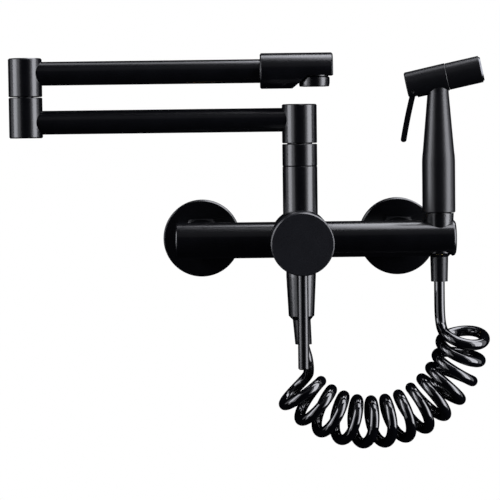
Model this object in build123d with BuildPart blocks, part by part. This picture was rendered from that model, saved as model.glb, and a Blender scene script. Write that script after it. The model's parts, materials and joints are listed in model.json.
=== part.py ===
from build123d import *
import os
from math import cos, pi, radians, sin, sqrt, tan

# Wall-mounted kitchen faucet with a folding spout, a knob mixer and a hand sprayer.
# Millimetres. The origin lies on the wall, midway between the two water inlets.
# +X runs to the right along the wall, +Y into the wall, +Z up.

os.makedirs("parts", exist_ok=True)

# Fits
RUNNING = 0.06       # radial clearance where one piece turns in another
SEATED = 0.03        # radial clearance where one piece is fixed in another
FREE = 0.3           # clearance between faces that pass each other

# Wall connection
INLET_SPACING = 150.0
BAR_TO_WALL = 45.0
WALL_THREAD_RADIUS = 10.48
WALL_THREAD_LENGTH = 18.0
UNION_THREAD_RADIUS = 13.22
UNION_COLLAR_RADIUS = 12.0
UNION_COLLAR_LENGTH = 6.0
UNION_LENGTH = 13.0
WATERWAY_RADIUS = 7.5
FLANGE_RADIUS = 29.5
FLANGE_DEPTH = 9.0
FLANGE_WALL = 1.5
FLANGE_CHAMFER = 1.0
UNION_NUT_FLATS = 30.0
UNION_NUT_LENGTH = 13.5
UNION_NUT_CHAMFER = 1.5
HEX_SIDES = 6
GASKET_THICKNESS = 2.0
LEG_RADIUS = 10.25
LEG_BORE = 7.2
LEG_RIM_RADIUS = 12.2
LEG_RIM_THICKNESS = 2.5

# Valve bar and cartridge housing
BAR_RADIUS = 13.5
BAR_LEFT = -93.3
BAR_RIGHT = 115.8
BAR_LEFT_FILLET = 1.5
BAR_RIGHT_FILLET = 2.5
HOUSING_RADIUS = 22.75
HOUSING_BACK = 30.0
HOUSING_FRONT = 77.0
CHANNEL_RADIUS = 8.0
CHANNEL_NECK_RADIUS = 4.5
PORT_RADIUS = 3.4
PORT_OFFSET = 9.0
CAVITY_FLOOR = 52.0

# Cartridge
CARTRIDGE_RADIUS = 17.5
CARTRIDGE_WALL = 3.0
CARTRIDGE_LENGTH = 19.0
CARTRIDGE_BASE_THICKNESS = 3.5
SEAL_WIDTH = 1.6
SEAL_THICKNESS = 1.2
DISC_RADIUS = 12.5
MOVING_DISC_RADIUS = 10.5
DISC_THICKNESS = 3.0
CARRIER_THICKNESS = 5.5
STEM_RADIUS = 3.8
STEM_BALL_RADIUS = 2.2
STEM_FRONT = 103.6
PIVOT_PIN_RADIUS = 1.5
CARTRIDGE_NUT_RADIUS = 20.3
CARTRIDGE_NUT_LENGTH = 5.5
STEM_OPENING_RADIUS = 11.5
TILT_LIMIT = 20.0
DOME_RADIUS = 20.2
DOME_WALL = 1.5
DOME_RIM_RADIUS = 21.8
DOME_RIM_THICKNESS = 1.5

# Knob and lever
KNOB_RADIUS = 22.75
KNOB_BACK = 85.0
KNOB_FRONT = 112.0
KNOB_WALL = 1.75
KNOB_EDGE = 0.8
LEVER_DEPTH = 101.5
LEVER_RADIUS = 4.0
LEVER_END = -91.0
LEVER_ROOT = -12.0
KNOB_SCREW_RADIUS = 2.5
KNOB_SCREW_DEPTH = 93.6
KNOB_SCREW_LENGTH = 8.0

# Column and spout
COLUMN_RADIUS = 13.0
BASE_TOP = 55.0
COLLAR_HEIGHT = 16.5
SEAM = 0.6
SEAM_BEVEL = 0.5
NECK_RADIUS = 11.2
NECK_HEIGHT = 10.0
SPIGOT_RADIUS = 9.4
SPIGOT_BORE = 5.5
SPIGOT_DEPTH = 22.0
SPIGOT_ROOT = 8.0
RING_SECTION = 1.2
FIRST_RING_LIFT = 3.6
SECOND_RING_LIFT = 9.6
CLIP_RADIUS = 10.7
CLIP_HEIGHT = 1.6
ELBOW_HEIGHT = 29.0
ARM_DROP = 11.5
ARM_RADIUS = 8.85
ARM_WALL = 1.5
ARM_ROOT = 8.1
POST_EDGE = 0.8
LOWER_ARM_LENGTH = 204.0
KNUCKLE_RADIUS = 12.5
LOWER_KNUCKLE_HEIGHT = 30.2
UPPER_KNUCKLE_HEIGHT = 28.6
KNUCKLE_SPIGOT_RADIUS = 6.0
KNUCKLE_SPIGOT_BORE = 3.2
KNUCKLE_RING_SECTION = 0.8
SPIGOT_HEAD_RADIUS = 7.5
SPIGOT_HEAD_HEIGHT = 2.6
SPIGOT_SHOULDER = 9.6
PLUG_RADIUS = 8.0
PLUG_HEIGHT = 2.4
UPPER_ARM_REACH = 215.4
SPOUT_RADIUS = 13.25
SPOUT_BACK = 40.4
SPOUT_NOSE = 13.7
SPOUT_FLAT_DROP = 3.7
SPOUT_NOTCH_LEAN = 4.6
SPOUT_SOCKET = 10.0
SPOUT_EDGE = 1.0
SPOUT_BORE = 2.7
AERATOR_RADIUS = 11.5
AERATOR_SHOWING = 8.2
AERATOR_THREAD_RADIUS = 9.5
AERATOR_THREAD_LENGTH = 4.0
AERATOR_BORE = 8.2
SCREEN_HOLE_RADIUS = 0.9
SCREEN_INNER_CIRCLE = 2.7
SCREEN_OUTER_CIRCLE = 5.5
SCREEN_THICKNESS = 1.5
INNER_HOLE_COUNT = 6
OUTER_HOLE_COUNT = 12

# Diverter in the column and hose outlet under the housing
DIVERTER_FLOOR = 19.0
DIVERTER_HEIGHT = 14.0
DIVERTER_BORE = 3.0
OUTLET_BOSS_RADIUS = 11.1
OUTLET_BOSS_END = -27.6
NIPPLE_RADIUS = 8.9
NIPPLE_ROOT_RADIUS = 8.0
NIPPLE_ROOT_LENGTH = 8.0
RETURN_OFFSET = 7.5
RETURN_RADIUS = 2.2
NIPPLE_BORE = 4.5

# Hose and its two end fittings
HOSE_RADIUS = 4.0
HOSE_NUT_TOP_RADIUS = 11.1
HOSE_NUT_END_RADIUS = 9.6
HOSE_NUT_LENGTH = 30.2
HOSE_NUT_CHAMFER = 0.8
HOSE_NUT_FLOOR = 3.0
WASHER_THICKNESS = 2.0
SLEEVE_TOP_RADIUS = 6.7
SLEEVE_END_RADIUS = 6.25
SLEEVE_HEAD_RADIUS = 8.6
SLEEVE_HEAD_HEIGHT = 2.0
SLEEVE_LENGTH = 20.4
SLEEVE_FLOOR = 3.0
TAIL_FLANGE_RADIUS = 8.6
TAIL_FLANGE_THICKNESS = 2.5
TAIL_RADIUS = 4.9
TAIL_BORE = 2.6

# Coil of the hose: a left-hand helix along an arc that sags between the two fittings
COIL_CENTRE_X = 50.8
COIL_CENTRE_Z = -68.4
COIL_FIRST_SAG_RADIUS = 69.1
COIL_LAST_SAG_RADIUS = 70.5
COIL_START_ANGLE = 217.3
COIL_END_ANGLE = 360.4
COIL_RADIUS = 16.1
COIL_FIRST_LEAN = -1.8
COIL_LAST_LEAN = -8.2
COIL_LEAN_SWELL = 8.8
COIL_FIRST_PHASE = -107.0
COIL_LAST_PHASE = 4486.0
COIL_HALF_TURNS = 26
HOSE_LEAD = 8.0

# Hand sprayer in its cone at the right end of the bar
DOCK_X = 103.5
DOCK_SEAT = 18.4
SPRAYER_YAW = 7.0
GRIP_RADIUS = 12.3
GRIP_EDGE = 0.7
GRIP_SHOULDER = 37.5
GRIP_TAPER_START = 46.0
GRIP_NECK_RADIUS = 7.9
GRIP_BORE = 5.5
HEAD_HEIGHT = 118.6
HEAD_TILT = 12.0
HEAD_RADIUS = 10.3
HEAD_REAR_RADIUS = 10.1
HEAD_REAR = 24.0
HEAD_SEAM = 6.9
HEAD_EDGE = 0.8
HEAD_BORE = 7.0
HEAD_REAR_WALL = 1.2
NOZZLE_RADIUS = 10.0
NOZZLE_GAP = 0.2
NOZZLE_BEVEL = 0.25
NOZZLE_FRONT = 33.5
NOZZLE_LIP = 0.7
NOZZLE_JOIN_LENGTH = 4.6
FACE_RING_WIDTH = 1.6
FACE_RING_DEPTH = 2.6
FACE_RING_PROUD = 1.2
FACE_THICKNESS = 2.0
HEAD_INLET_RADIUS = 4.0
NOZZLE_BORE = 5.0
FACE_HOLE_RADIUS = 0.6
FACE_INNER_CIRCLE = 2.6
FACE_OUTER_CIRCLE = 5.4

# Trigger and its valve
TRIGGER_WIDTH = 9.0
TRIGGER_THICKNESS = 4.0
TRIGGER_PIVOT_BACK = 19.8
TRIGGER_PIVOT_DROP = 5.4
TRIGGER_EYE_RADIUS = 2.2
TRIGGER_PIN_RADIUS = 1.2
TRIGGER_LENGTH = 37.4
TRIGGER_LEAN = 7.6
TRIGGER_BOW = 0.6
TRIGGER_FORK_LEAN = 3.0
TRIGGER_FORK_THICKNESS = 2.0
TRIGGER_FORK_ABOVE = 2.8
TRIGGER_FORK_SLACK = 0.7
SPINDLE_RADIUS = 1.3
SPINDLE_HEAD_RADIUS = 2.6
SPINDLE_HEAD_THICKNESS = 1.2
VALVE_CORE_BACK = 13.0
VALVE_CORE_FRONT = 5.0

# Places that follow from the sizes above
BAR_Y = -BAR_TO_WALL
INLETS = {"hot": -INLET_SPACING / 2, "cold": INLET_SPACING / 2}
LEG_END = UNION_LENGTH + GASKET_THICKNESS
BASE_CARTRIDGE = CAVITY_FLOOR + CARTRIDGE_BASE_THICKNESS
MOVING_DISC_BACK = BASE_CARTRIDGE + DISC_THICKNESS + FREE
CARRIER_BACK = MOVING_DISC_BACK + DISC_THICKNESS + STEM_BALL_RADIUS
PIVOT_DEPTH = CARRIER_BACK + CARRIER_THICKNESS / 2
CARTRIDGE_FRONT = CAVITY_FLOOR + CARTRIDGE_LENGTH
COLLAR_TOP = BASE_TOP + COLLAR_HEIGHT
ELBOW_BASE = COLLAR_TOP + SEAM
ELBOW_TOP = ELBOW_BASE + ELBOW_HEIGHT
LOWER_ARM_Z = ELBOW_TOP - ARM_DROP
KNUCKLE_X = -LOWER_ARM_LENGTH
LOWER_KNUCKLE_BASE = LOWER_ARM_Z - ARM_DROP
LOWER_KNUCKLE_TOP = LOWER_KNUCKLE_BASE + LOWER_KNUCKLE_HEIGHT
UPPER_KNUCKLE_BASE = LOWER_KNUCKLE_TOP + SEAM
UPPER_KNUCKLE_TOP = UPPER_KNUCKLE_BASE + UPPER_KNUCKLE_HEIGHT
UPPER_ARM_Z = UPPER_KNUCKLE_TOP - ARM_DROP
SPOUT_X = KNUCKLE_X + UPPER_ARM_REACH
SPOUT_LEFT = SPOUT_X - SPOUT_BACK
SPOUT_RIGHT = SPOUT_X + SPOUT_NOSE
SPOUT_FLAT = UPPER_ARM_Z - SPOUT_FLAT_DROP
HOSE_NUT_TAPER = (HOSE_NUT_TOP_RADIUS - HOSE_NUT_END_RADIUS) / HOSE_NUT_LENGTH
HOSE_NUT_BORE = NIPPLE_RADIUS + SEATED
TAIL_SEAT = HOSE_NUT_LENGTH - HOSE_NUT_FLOOR
SPIGOT_REACH = TAIL_SEAT - TAIL_FLANGE_THICKNESS - WASHER_THICKNESS
SLEEVE_TOP = HOSE_NUT_LENGTH + FREE
SLEEVE_END = SLEEVE_TOP + SLEEVE_LENGTH


def upright(x, z=0.0):
    """Plane facing the room through the bar axis: local x is +X, local y is +Z."""
    return Plane(origin=(x, BAR_Y, z), x_dir=(1, 0, 0), z_dir=(0, -1, 0))


def outward(x, z=0.0):
    """Plane square to the wall: local x is the distance from the wall, local y is +Z."""
    return Plane(origin=(x, 0, z), x_dir=(0, -1, 0), z_dir=(-1, 0, 0))


def upright_axis(x):
    return Axis((x, BAR_Y, 0), (0, 0, 1))


def outward_axis(x):
    return Axis((x, 0, 0), (0, -1, 0))


def level_axis(z):
    return Axis((0, BAR_Y, z), (1, 0, 0))


def outline(plane, *points):
    """Closed straight-sided profile on a plane."""
    with BuildSketch(plane) as profile:
        with BuildLine():
            Polyline(*points, close=True)
        make_face()
    return profile.sketch


def disc(plane, radius):
    with BuildSketch(plane) as profile:
        Circle(radius)
    return profile.sketch


def save(builder, label):
    builder.part.label = label
    export_step(builder.part, "parts/" + label + ".step")


# Unions, cover flanges, nuts and gaskets at the two inlets
for side, inlet_x in INLETS.items():
    plane = outward(inlet_x)
    axis = outward_axis(inlet_x)
    nut_back = FLANGE_DEPTH + SEAM
    nut_front = nut_back + UNION_NUT_LENGTH
    rim_front = LEG_END + LEG_RIM_THICKNESS

    with BuildPart() as wall_union:
        revolve(outline(plane,
                        (-WALL_THREAD_LENGTH, WATERWAY_RADIUS),
                        (-WALL_THREAD_LENGTH, WALL_THREAD_RADIUS),
                        (0, WALL_THREAD_RADIUS),
                        (0, UNION_COLLAR_RADIUS),
                        (UNION_COLLAR_LENGTH, UNION_COLLAR_RADIUS),
                        (UNION_COLLAR_LENGTH, UNION_THREAD_RADIUS),
                        (UNION_LENGTH, UNION_THREAD_RADIUS),
                        (UNION_LENGTH, WATERWAY_RADIUS)), axis=axis)
    save(wall_union, "wall_union_" + side)

    with BuildPart() as wall_flange:
        revolve(outline(plane,
                        (0, FLANGE_RADIUS),
                        (0, FLANGE_RADIUS - FLANGE_WALL),
                        (FLANGE_DEPTH - FLANGE_WALL, FLANGE_RADIUS - FLANGE_WALL),
                        (FLANGE_DEPTH - FLANGE_WALL, UNION_THREAD_RADIUS + SEATED),
                        (FLANGE_DEPTH, UNION_THREAD_RADIUS + SEATED),
                        (FLANGE_DEPTH, FLANGE_RADIUS - FLANGE_CHAMFER),
                        (FLANGE_DEPTH - FLANGE_CHAMFER, FLANGE_RADIUS)), axis=axis)
    save(wall_flange, "wall_flange_" + side)

    with BuildPart() as union_nut:
        with BuildSketch(Plane(origin=(inlet_x, -nut_back, 0), x_dir=(1, 0, 0), z_dir=(0, -1, 0))):
            RegularPolygon(UNION_NUT_FLATS / 2, HEX_SIDES, major_radius=False)
        extrude(amount=UNION_NUT_LENGTH)
        flats = UNION_NUT_FLATS / 2
        corner = flats / cos(pi / HEX_SIDES)
        revolve(outline(plane,
                        (nut_back, 0),
                        (nut_back, flats),
                        (nut_back + UNION_NUT_CHAMFER, corner),
                        (nut_front - UNION_NUT_CHAMFER, corner),
                        (nut_front, flats),
                        (nut_front, 0)), axis=axis, mode=Mode.INTERSECT)
        revolve(outline(plane,
                        (nut_back, 0),
                        (nut_back, UNION_THREAD_RADIUS + SEATED),
                        (rim_front, UNION_THREAD_RADIUS + SEATED),
                        (rim_front, LEG_RADIUS + FREE),
                        (nut_front, LEG_RADIUS + FREE),
                        (nut_front, 0)), axis=axis, mode=Mode.SUBTRACT)
    save(union_nut, "union_nut_" + side)

    with BuildPart() as union_gasket:
        revolve(outline(plane,
                        (UNION_LENGTH, WATERWAY_RADIUS),
                        (UNION_LENGTH, LEG_RIM_RADIUS),
                        (LEG_END, LEG_RIM_RADIUS),
                        (LEG_END, WATERWAY_RADIUS)), axis=axis)
    save(union_gasket, "union_gasket_" + side)


# Mixer body: bar, cartridge housing, column base, hose boss and inlet legs in one casting
def hose_nut_radius(below_top):
    return HOSE_NUT_TOP_RADIUS - HOSE_NUT_TAPER * below_top


with BuildPart() as mixer_body:
    extrude(disc(Plane(origin=(BAR_LEFT, BAR_Y, 0), x_dir=(0, 1, 0), z_dir=(1, 0, 0)), BAR_RADIUS),
            amount=BAR_RIGHT - BAR_LEFT)
    bar_ends = mixer_body.edges().filter_by(GeomType.CIRCLE).sort_by(Axis.X)
    fillet(bar_ends[0], BAR_LEFT_FILLET)
    fillet(mixer_body.edges().filter_by(GeomType.CIRCLE).sort_by(Axis.X)[-1], BAR_RIGHT_FILLET)
    revolve(outline(outward(0),
                    (HOUSING_BACK, 0),
                    (HOUSING_BACK, HOUSING_RADIUS),
                    (HOUSING_FRONT, HOUSING_RADIUS),
                    (HOUSING_FRONT, 0)), axis=outward_axis(0))
    revolve(outline(upright(0),
                    (0, OUTLET_BOSS_END),
                    (OUTLET_BOSS_RADIUS, OUTLET_BOSS_END),
                    (OUTLET_BOSS_RADIUS, 0),
                    (COLUMN_RADIUS, 0),
                    (COLUMN_RADIUS, BASE_TOP - SEAM_BEVEL),
                    (COLUMN_RADIUS - SEAM_BEVEL, BASE_TOP),
                    (NECK_RADIUS, BASE_TOP),
                    (NECK_RADIUS, BASE_TOP + NECK_HEIGHT),
                    (0, BASE_TOP + NECK_HEIGHT)), axis=upright_axis(0))
    for inlet_x in INLETS.values():
        revolve(outline(outward(inlet_x),
                        (LEG_END, 0),
                        (LEG_END, LEG_RIM_RADIUS),
                        (LEG_END + LEG_RIM_THICKNESS, LEG_RIM_RADIUS),
                        (LEG_END + LEG_RIM_THICKNESS, LEG_RADIUS),
                        (BAR_TO_WALL, LEG_RADIUS),
                        (BAR_TO_WALL, 0)), axis=outward_axis(inlet_x))
    # Water channels from each leg along the bar to the ports under the cartridge
    for inlet_x in INLETS.values():
        side = 1 if inlet_x > 0 else -1
        bore_end = side * (INLET_SPACING / 2 + CHANNEL_RADIUS)
        revolve(outline(upright(0),
                        (side * PORT_OFFSET, 0),
                        (side * PORT_OFFSET, CHANNEL_NECK_RADIUS),
                        (side * HOUSING_RADIUS, CHANNEL_NECK_RADIUS),
                        (side * HOUSING_RADIUS, CHANNEL_RADIUS),
                        (bore_end, CHANNEL_RADIUS),
                        (bore_end, 0)), axis=level_axis(0), mode=Mode.SUBTRACT)
        extrude(disc(Plane(origin=(inlet_x, BAR_Y, 0), x_dir=(1, 0, 0), z_dir=(0, 1, 0)), LEG_BORE),
                amount=BAR_TO_WALL - LEG_END, mode=Mode.SUBTRACT)
        extrude(disc(Plane(origin=(side * PORT_OFFSET, BAR_Y, 0), x_dir=(1, 0, 0), z_dir=(0, -1, 0)),
                     PORT_RADIUS), amount=CAVITY_FLOOR - BAR_TO_WALL, mode=Mode.SUBTRACT)
    # Cartridge cavity with its wider threaded mouth
    revolve(outline(outward(0),
                    (CAVITY_FLOOR, 0),
                    (CAVITY_FLOOR, CARTRIDGE_RADIUS + SEATED),
                    (CARTRIDGE_FRONT, CARTRIDGE_RADIUS + SEATED),
                    (CARTRIDGE_FRONT, CARTRIDGE_NUT_RADIUS + SEATED),
                    (HOUSING_FRONT, CARTRIDGE_NUT_RADIUS + SEATED),
                    (HOUSING_FRONT, 0)), axis=outward_axis(0), mode=Mode.SUBTRACT)
    # Mixed water rises from the cartridge into the column, and returns to the hose boss
    extrude(disc(Plane(origin=(0, BAR_Y, PORT_OFFSET), x_dir=(1, 0, 0), z_dir=(0, -1, 0)), PORT_RADIUS),
            amount=CAVITY_FLOOR - BAR_TO_WALL, mode=Mode.SUBTRACT)
    revolve(outline(upright(0),
                    (0, PORT_OFFSET),
                    (PORT_RADIUS, PORT_OFFSET),
                    (PORT_RADIUS, DIVERTER_FLOOR),
                    (SPIGOT_RADIUS + RUNNING, DIVERTER_FLOOR),
                    (SPIGOT_RADIUS + RUNNING, BASE_TOP + NECK_HEIGHT),
                    (0, BASE_TOP + NECK_HEIGHT)), axis=upright_axis(0), mode=Mode.SUBTRACT)
    revolve(outline(upright(0),
                    (0, OUTLET_BOSS_END),
                    (NIPPLE_ROOT_RADIUS + SEATED, OUTLET_BOSS_END),
                    (NIPPLE_ROOT_RADIUS + SEATED, OUTLET_BOSS_END + NIPPLE_ROOT_LENGTH),
                    (0, OUTLET_BOSS_END + NIPPLE_ROOT_LENGTH)), axis=upright_axis(0), mode=Mode.SUBTRACT)
    return_foot = OUTLET_BOSS_END + NIPPLE_ROOT_LENGTH
    extrude(disc(Plane(origin=(0, BAR_Y + RETURN_OFFSET, return_foot)), RETURN_RADIUS),
            amount=DIVERTER_FLOOR - return_foot, mode=Mode.SUBTRACT)
    # Cone that holds the hose nut of the sprayer
    revolve(outline(upright(DOCK_X),
                    (0, DOCK_SEAT),
                    (hose_nut_radius(0) + FREE, DOCK_SEAT),
                    (hose_nut_radius(2 * DOCK_SEAT) + FREE, -DOCK_SEAT),
                    (0, -DOCK_SEAT)), axis=upright_axis(DOCK_X), mode=Mode.SUBTRACT)
save(mixer_body, "mixer_body")

# Cartridge: base with three port seals, two ceramic discs, shell and retaining nut
cartridge_ports = ((-PORT_OFFSET, 0), (PORT_OFFSET, 0), (0, PORT_OFFSET))
floor_plane = Plane(origin=(0, -CAVITY_FLOOR, 0), x_dir=(1, 0, 0), z_dir=(0, -1, 0))
shell_bore = CARTRIDGE_RADIUS - CARTRIDGE_WALL

with BuildPart() as cartridge_base:
    extrude(disc(floor_plane, CARTRIDGE_RADIUS), amount=CARTRIDGE_BASE_THICKNESS)
    with BuildSketch(floor_plane):
        with Locations(*cartridge_ports):
            Circle(PORT_RADIUS)
    extrude(amount=CARTRIDGE_BASE_THICKNESS, mode=Mode.SUBTRACT)
    with BuildSketch(floor_plane):
        with Locations(*cartridge_ports):
            Circle(PORT_RADIUS + SEAL_WIDTH)
    extrude(amount=SEAL_THICKNESS, mode=Mode.SUBTRACT)
save(cartridge_base, "cartridge_base")

with BuildPart() as port_seals:
    with BuildSketch(floor_plane):
        with Locations(*cartridge_ports):
            Circle(PORT_RADIUS + SEAL_WIDTH - SEATED)
            Circle(PORT_RADIUS, mode=Mode.SUBTRACT)
    extrude(amount=SEAL_THICKNESS)
save(port_seals, "port_seals")

with BuildPart() as fixed_disc:
    disc_plane = floor_plane.offset(CARTRIDGE_BASE_THICKNESS)
    extrude(disc(disc_plane, DISC_RADIUS), amount=DISC_THICKNESS)
    with BuildSketch(disc_plane):
        with Locations(*cartridge_ports):
            Circle(PORT_RADIUS - SEAL_WIDTH / 2)
    extrude(amount=DISC_THICKNESS, mode=Mode.SUBTRACT)
save(fixed_disc, "fixed_disc")

with BuildPart() as cartridge_shell:
    revolve(outline(outward(0),
                    (BASE_CARTRIDGE, shell_bore),
                    (BASE_CARTRIDGE, CARTRIDGE_RADIUS),
                    (CARTRIDGE_FRONT, CARTRIDGE_RADIUS),
                    (CARTRIDGE_FRONT, STEM_OPENING_RADIUS),
                    (CARRIER_BACK + CARRIER_THICKNESS + FREE, STEM_OPENING_RADIUS),
                    (CARRIER_BACK + CARRIER_THICKNESS + FREE, shell_bore)), axis=outward_axis(0))
save(cartridge_shell, "cartridge_shell")

with BuildPart() as cartridge_nut:
    revolve(outline(outward(0),
                    (CARTRIDGE_FRONT, STEM_OPENING_RADIUS),
                    (CARTRIDGE_FRONT, CARTRIDGE_NUT_RADIUS),
                    (CARTRIDGE_FRONT + CARTRIDGE_NUT_LENGTH, CARTRIDGE_NUT_RADIUS),
                    (CARTRIDGE_FRONT + CARTRIDGE_NUT_LENGTH, STEM_OPENING_RADIUS)), axis=outward_axis(0))
save(cartridge_nut, "cartridge_nut")

# Domed trim, a ball zone about the tilt axis, so the knob can tilt over it
with BuildPart() as dome_trim:
    dome_base = HOUSING_FRONT - PIVOT_DEPTH
    revolve(outline(outward(0),
                    (HOUSING_FRONT, STEM_OPENING_RADIUS),
                    (HOUSING_FRONT, DOME_RIM_RADIUS),
                    (HOUSING_FRONT + DOME_RIM_THICKNESS, DOME_RIM_RADIUS),
                    (HOUSING_FRONT + DOME_RIM_THICKNESS, STEM_OPENING_RADIUS)), axis=outward_axis(0))
    with BuildSketch(outward(0)):
        with Locations((PIVOT_DEPTH, 0)):
            Circle(DOME_RADIUS)
            Circle(DOME_RADIUS - DOME_WALL, mode=Mode.SUBTRACT)
        with BuildLine():
            Polyline((HOUSING_FRONT, STEM_OPENING_RADIUS),
                     (HOUSING_FRONT, DOME_RADIUS),
                     (HOUSING_FRONT + DOME_RADIUS, DOME_RADIUS),
                     (HOUSING_FRONT + DOME_RADIUS, STEM_OPENING_RADIUS), close=True)
        make_face(mode=Mode.INTERSECT)
    revolve(axis=outward_axis(0))
    revolve(outline(outward(0),
                    (HOUSING_FRONT, 0),
                    (HOUSING_FRONT, sqrt((DOME_RADIUS - DOME_WALL) ** 2 - dome_base ** 2)),
                    (HOUSING_FRONT + DOME_RIM_THICKNESS,
                     sqrt((DOME_RADIUS - DOME_WALL) ** 2 - (dome_base + DOME_RIM_THICKNESS) ** 2)),
                    (HOUSING_FRONT + DOME_RIM_THICKNESS, 0)), axis=outward_axis(0), mode=Mode.SUBTRACT)
save(dome_trim, "dome_trim")

# Carrier that turns for temperature, with the pin on which the stem tilts
with BuildPart() as disc_carrier:
    carrier_plane = floor_plane.offset(CARRIER_BACK - CAVITY_FLOOR)
    extrude(disc(carrier_plane, shell_bore - FREE), amount=CARRIER_THICKNESS)
    slot_width = 2 * (STEM_RADIUS + FREE)
    slot_reach = STEM_RADIUS + CARRIER_THICKNESS * tan(radians(TILT_LIMIT)) + FREE
    with BuildSketch(carrier_plane):
        Rectangle(slot_width, 2 * slot_reach)
    extrude(amount=CARRIER_THICKNESS, mode=Mode.SUBTRACT)
    pin_reach = DISC_RADIUS
    pin_plane = Plane(origin=(-pin_reach, -PIVOT_DEPTH, 0), x_dir=(0, 1, 0), z_dir=(1, 0, 0))
    extrude(disc(pin_plane, PIVOT_PIN_RADIUS + SEATED), amount=2 * pin_reach, mode=Mode.SUBTRACT)
save(disc_carrier, "disc_carrier")

with BuildPart() as pivot_pin:
    extrude(disc(pin_plane, PIVOT_PIN_RADIUS), amount=2 * pin_reach)
save(pivot_pin, "pivot_pin")

# Moving disc, driven by the ball on the stem in a groove across its front
with BuildPart() as moving_disc:
    moving_plane = floor_plane.offset(MOVING_DISC_BACK - CAVITY_FLOOR)
    disc_depth = DISC_THICKNESS + STEM_BALL_RADIUS - FREE
    extrude(disc(moving_plane, MOVING_DISC_RADIUS), amount=disc_depth)
    groove_plane = moving_plane.offset(disc_depth)
    with BuildSketch(groove_plane):
        Rectangle(2 * MOVING_DISC_RADIUS, 2 * (STEM_BALL_RADIUS + FREE))
    extrude(amount=-(2 * STEM_BALL_RADIUS), mode=Mode.SUBTRACT)
save(moving_disc, "moving_disc")

# Stem, knob, lever and the screw that clamps the knob
ball_depth = MOVING_DISC_BACK + disc_depth - STEM_BALL_RADIUS + FREE
with BuildPart() as cartridge_stem:
    revolve(outline(outward(0),
                    (CARRIER_BACK - FREE, 0),
                    (CARRIER_BACK - FREE, STEM_BALL_RADIUS / 2),
                    (PIVOT_DEPTH, STEM_RADIUS),
                    (STEM_FRONT, STEM_RADIUS),
                    (STEM_FRONT, 0)), axis=outward_axis(0))
    with BuildSketch(outward(0)):
        with Locations((ball_depth, 0)):
            Circle(STEM_BALL_RADIUS)
        with BuildLine():
            Polyline((ball_depth - STEM_BALL_RADIUS, 0),
                     (ball_depth - STEM_BALL_RADIUS, STEM_BALL_RADIUS),
                     (ball_depth + STEM_BALL_RADIUS, STEM_BALL_RADIUS),
                     (ball_depth + STEM_BALL_RADIUS, 0), close=True)
        make_face(mode=Mode.INTERSECT)
    revolve(axis=outward_axis(0))
    extrude(disc(pin_plane, PIVOT_PIN_RADIUS + RUNNING), amount=2 * pin_reach, mode=Mode.SUBTRACT)
save(cartridge_stem, "cartridge_stem")

with BuildPart() as knob:
    recess_floor = PIVOT_DEPTH + DOME_RADIUS + FREE
    revolve(outline(outward(0),
                    (KNOB_BACK, KNOB_RADIUS - KNOB_WALL),
                    (KNOB_BACK, KNOB_RADIUS - KNOB_EDGE),
                    (KNOB_BACK + KNOB_EDGE, KNOB_RADIUS),
                    (KNOB_FRONT - KNOB_EDGE, KNOB_RADIUS),
                    (KNOB_FRONT, KNOB_RADIUS - KNOB_EDGE),
                    (KNOB_FRONT, 0),
                    (STEM_FRONT, 0),
                    (STEM_FRONT, STEM_RADIUS + SEATED),
                    (recess_floor, STEM_RADIUS + SEATED),
                    (recess_floor, KNOB_RADIUS - KNOB_WALL)), axis=outward_axis(0))
    extrude(disc(Plane(origin=(0, -LEVER_DEPTH, -KNOB_RADIUS)), LEVER_RADIUS + SEATED),
            amount=KNOB_RADIUS + LEVER_ROOT, mode=Mode.SUBTRACT)
    extrude(disc(Plane(origin=(0, -KNOB_SCREW_DEPTH, -KNOB_RADIUS)), KNOB_SCREW_RADIUS + SEATED),
            amount=KNOB_RADIUS, mode=Mode.SUBTRACT)
save(knob, "knob")

with BuildPart() as lever_rod:
    extrude(disc(Plane(origin=(0, -LEVER_DEPTH, LEVER_END)), LEVER_RADIUS), amount=LEVER_ROOT - LEVER_END)
    chamfer(lever_rod.edges().filter_by(GeomType.CIRCLE).sort_by(Axis.Z)[0], KNOB_EDGE)
save(lever_rod, "lever_rod")

with BuildPart() as knob_screw:
    screw_tip = -STEM_RADIUS - SEATED
    extrude(disc(Plane(origin=(0, -KNOB_SCREW_DEPTH, screw_tip - KNOB_SCREW_LENGTH)), KNOB_SCREW_RADIUS),
            amount=KNOB_SCREW_LENGTH)
    with BuildSketch(Plane(origin=(0, -KNOB_SCREW_DEPTH, screw_tip - KNOB_SCREW_LENGTH))):
        RegularPolygon(KNOB_SCREW_RADIUS / 2, HEX_SIDES)
    extrude(amount=KNOB_SCREW_LENGTH / 2, mode=Mode.SUBTRACT)
save(knob_screw, "knob_screw")

# Collar that screws on the column base and keeps the swivelling spout in it
clip_base = BASE_TOP + NECK_HEIGHT + FREE
clip_top = clip_base + CLIP_HEIGHT
with BuildPart() as spout_collar:
    revolve(outline(upright(0),
                    (NECK_RADIUS + SEATED, BASE_TOP),
                    (COLUMN_RADIUS - SEAM_BEVEL, BASE_TOP),
                    (COLUMN_RADIUS, BASE_TOP + SEAM_BEVEL),
                    (COLUMN_RADIUS, COLLAR_TOP - SEAM_BEVEL),
                    (COLUMN_RADIUS - SEAM_BEVEL, COLLAR_TOP),
                    (SPIGOT_RADIUS + FREE, COLLAR_TOP),
                    (SPIGOT_RADIUS + FREE, clip_top + FREE),
                    (NECK_RADIUS + SEATED, clip_top + FREE)), axis=upright_axis(0))
save(spout_collar, "spout_collar")

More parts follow.
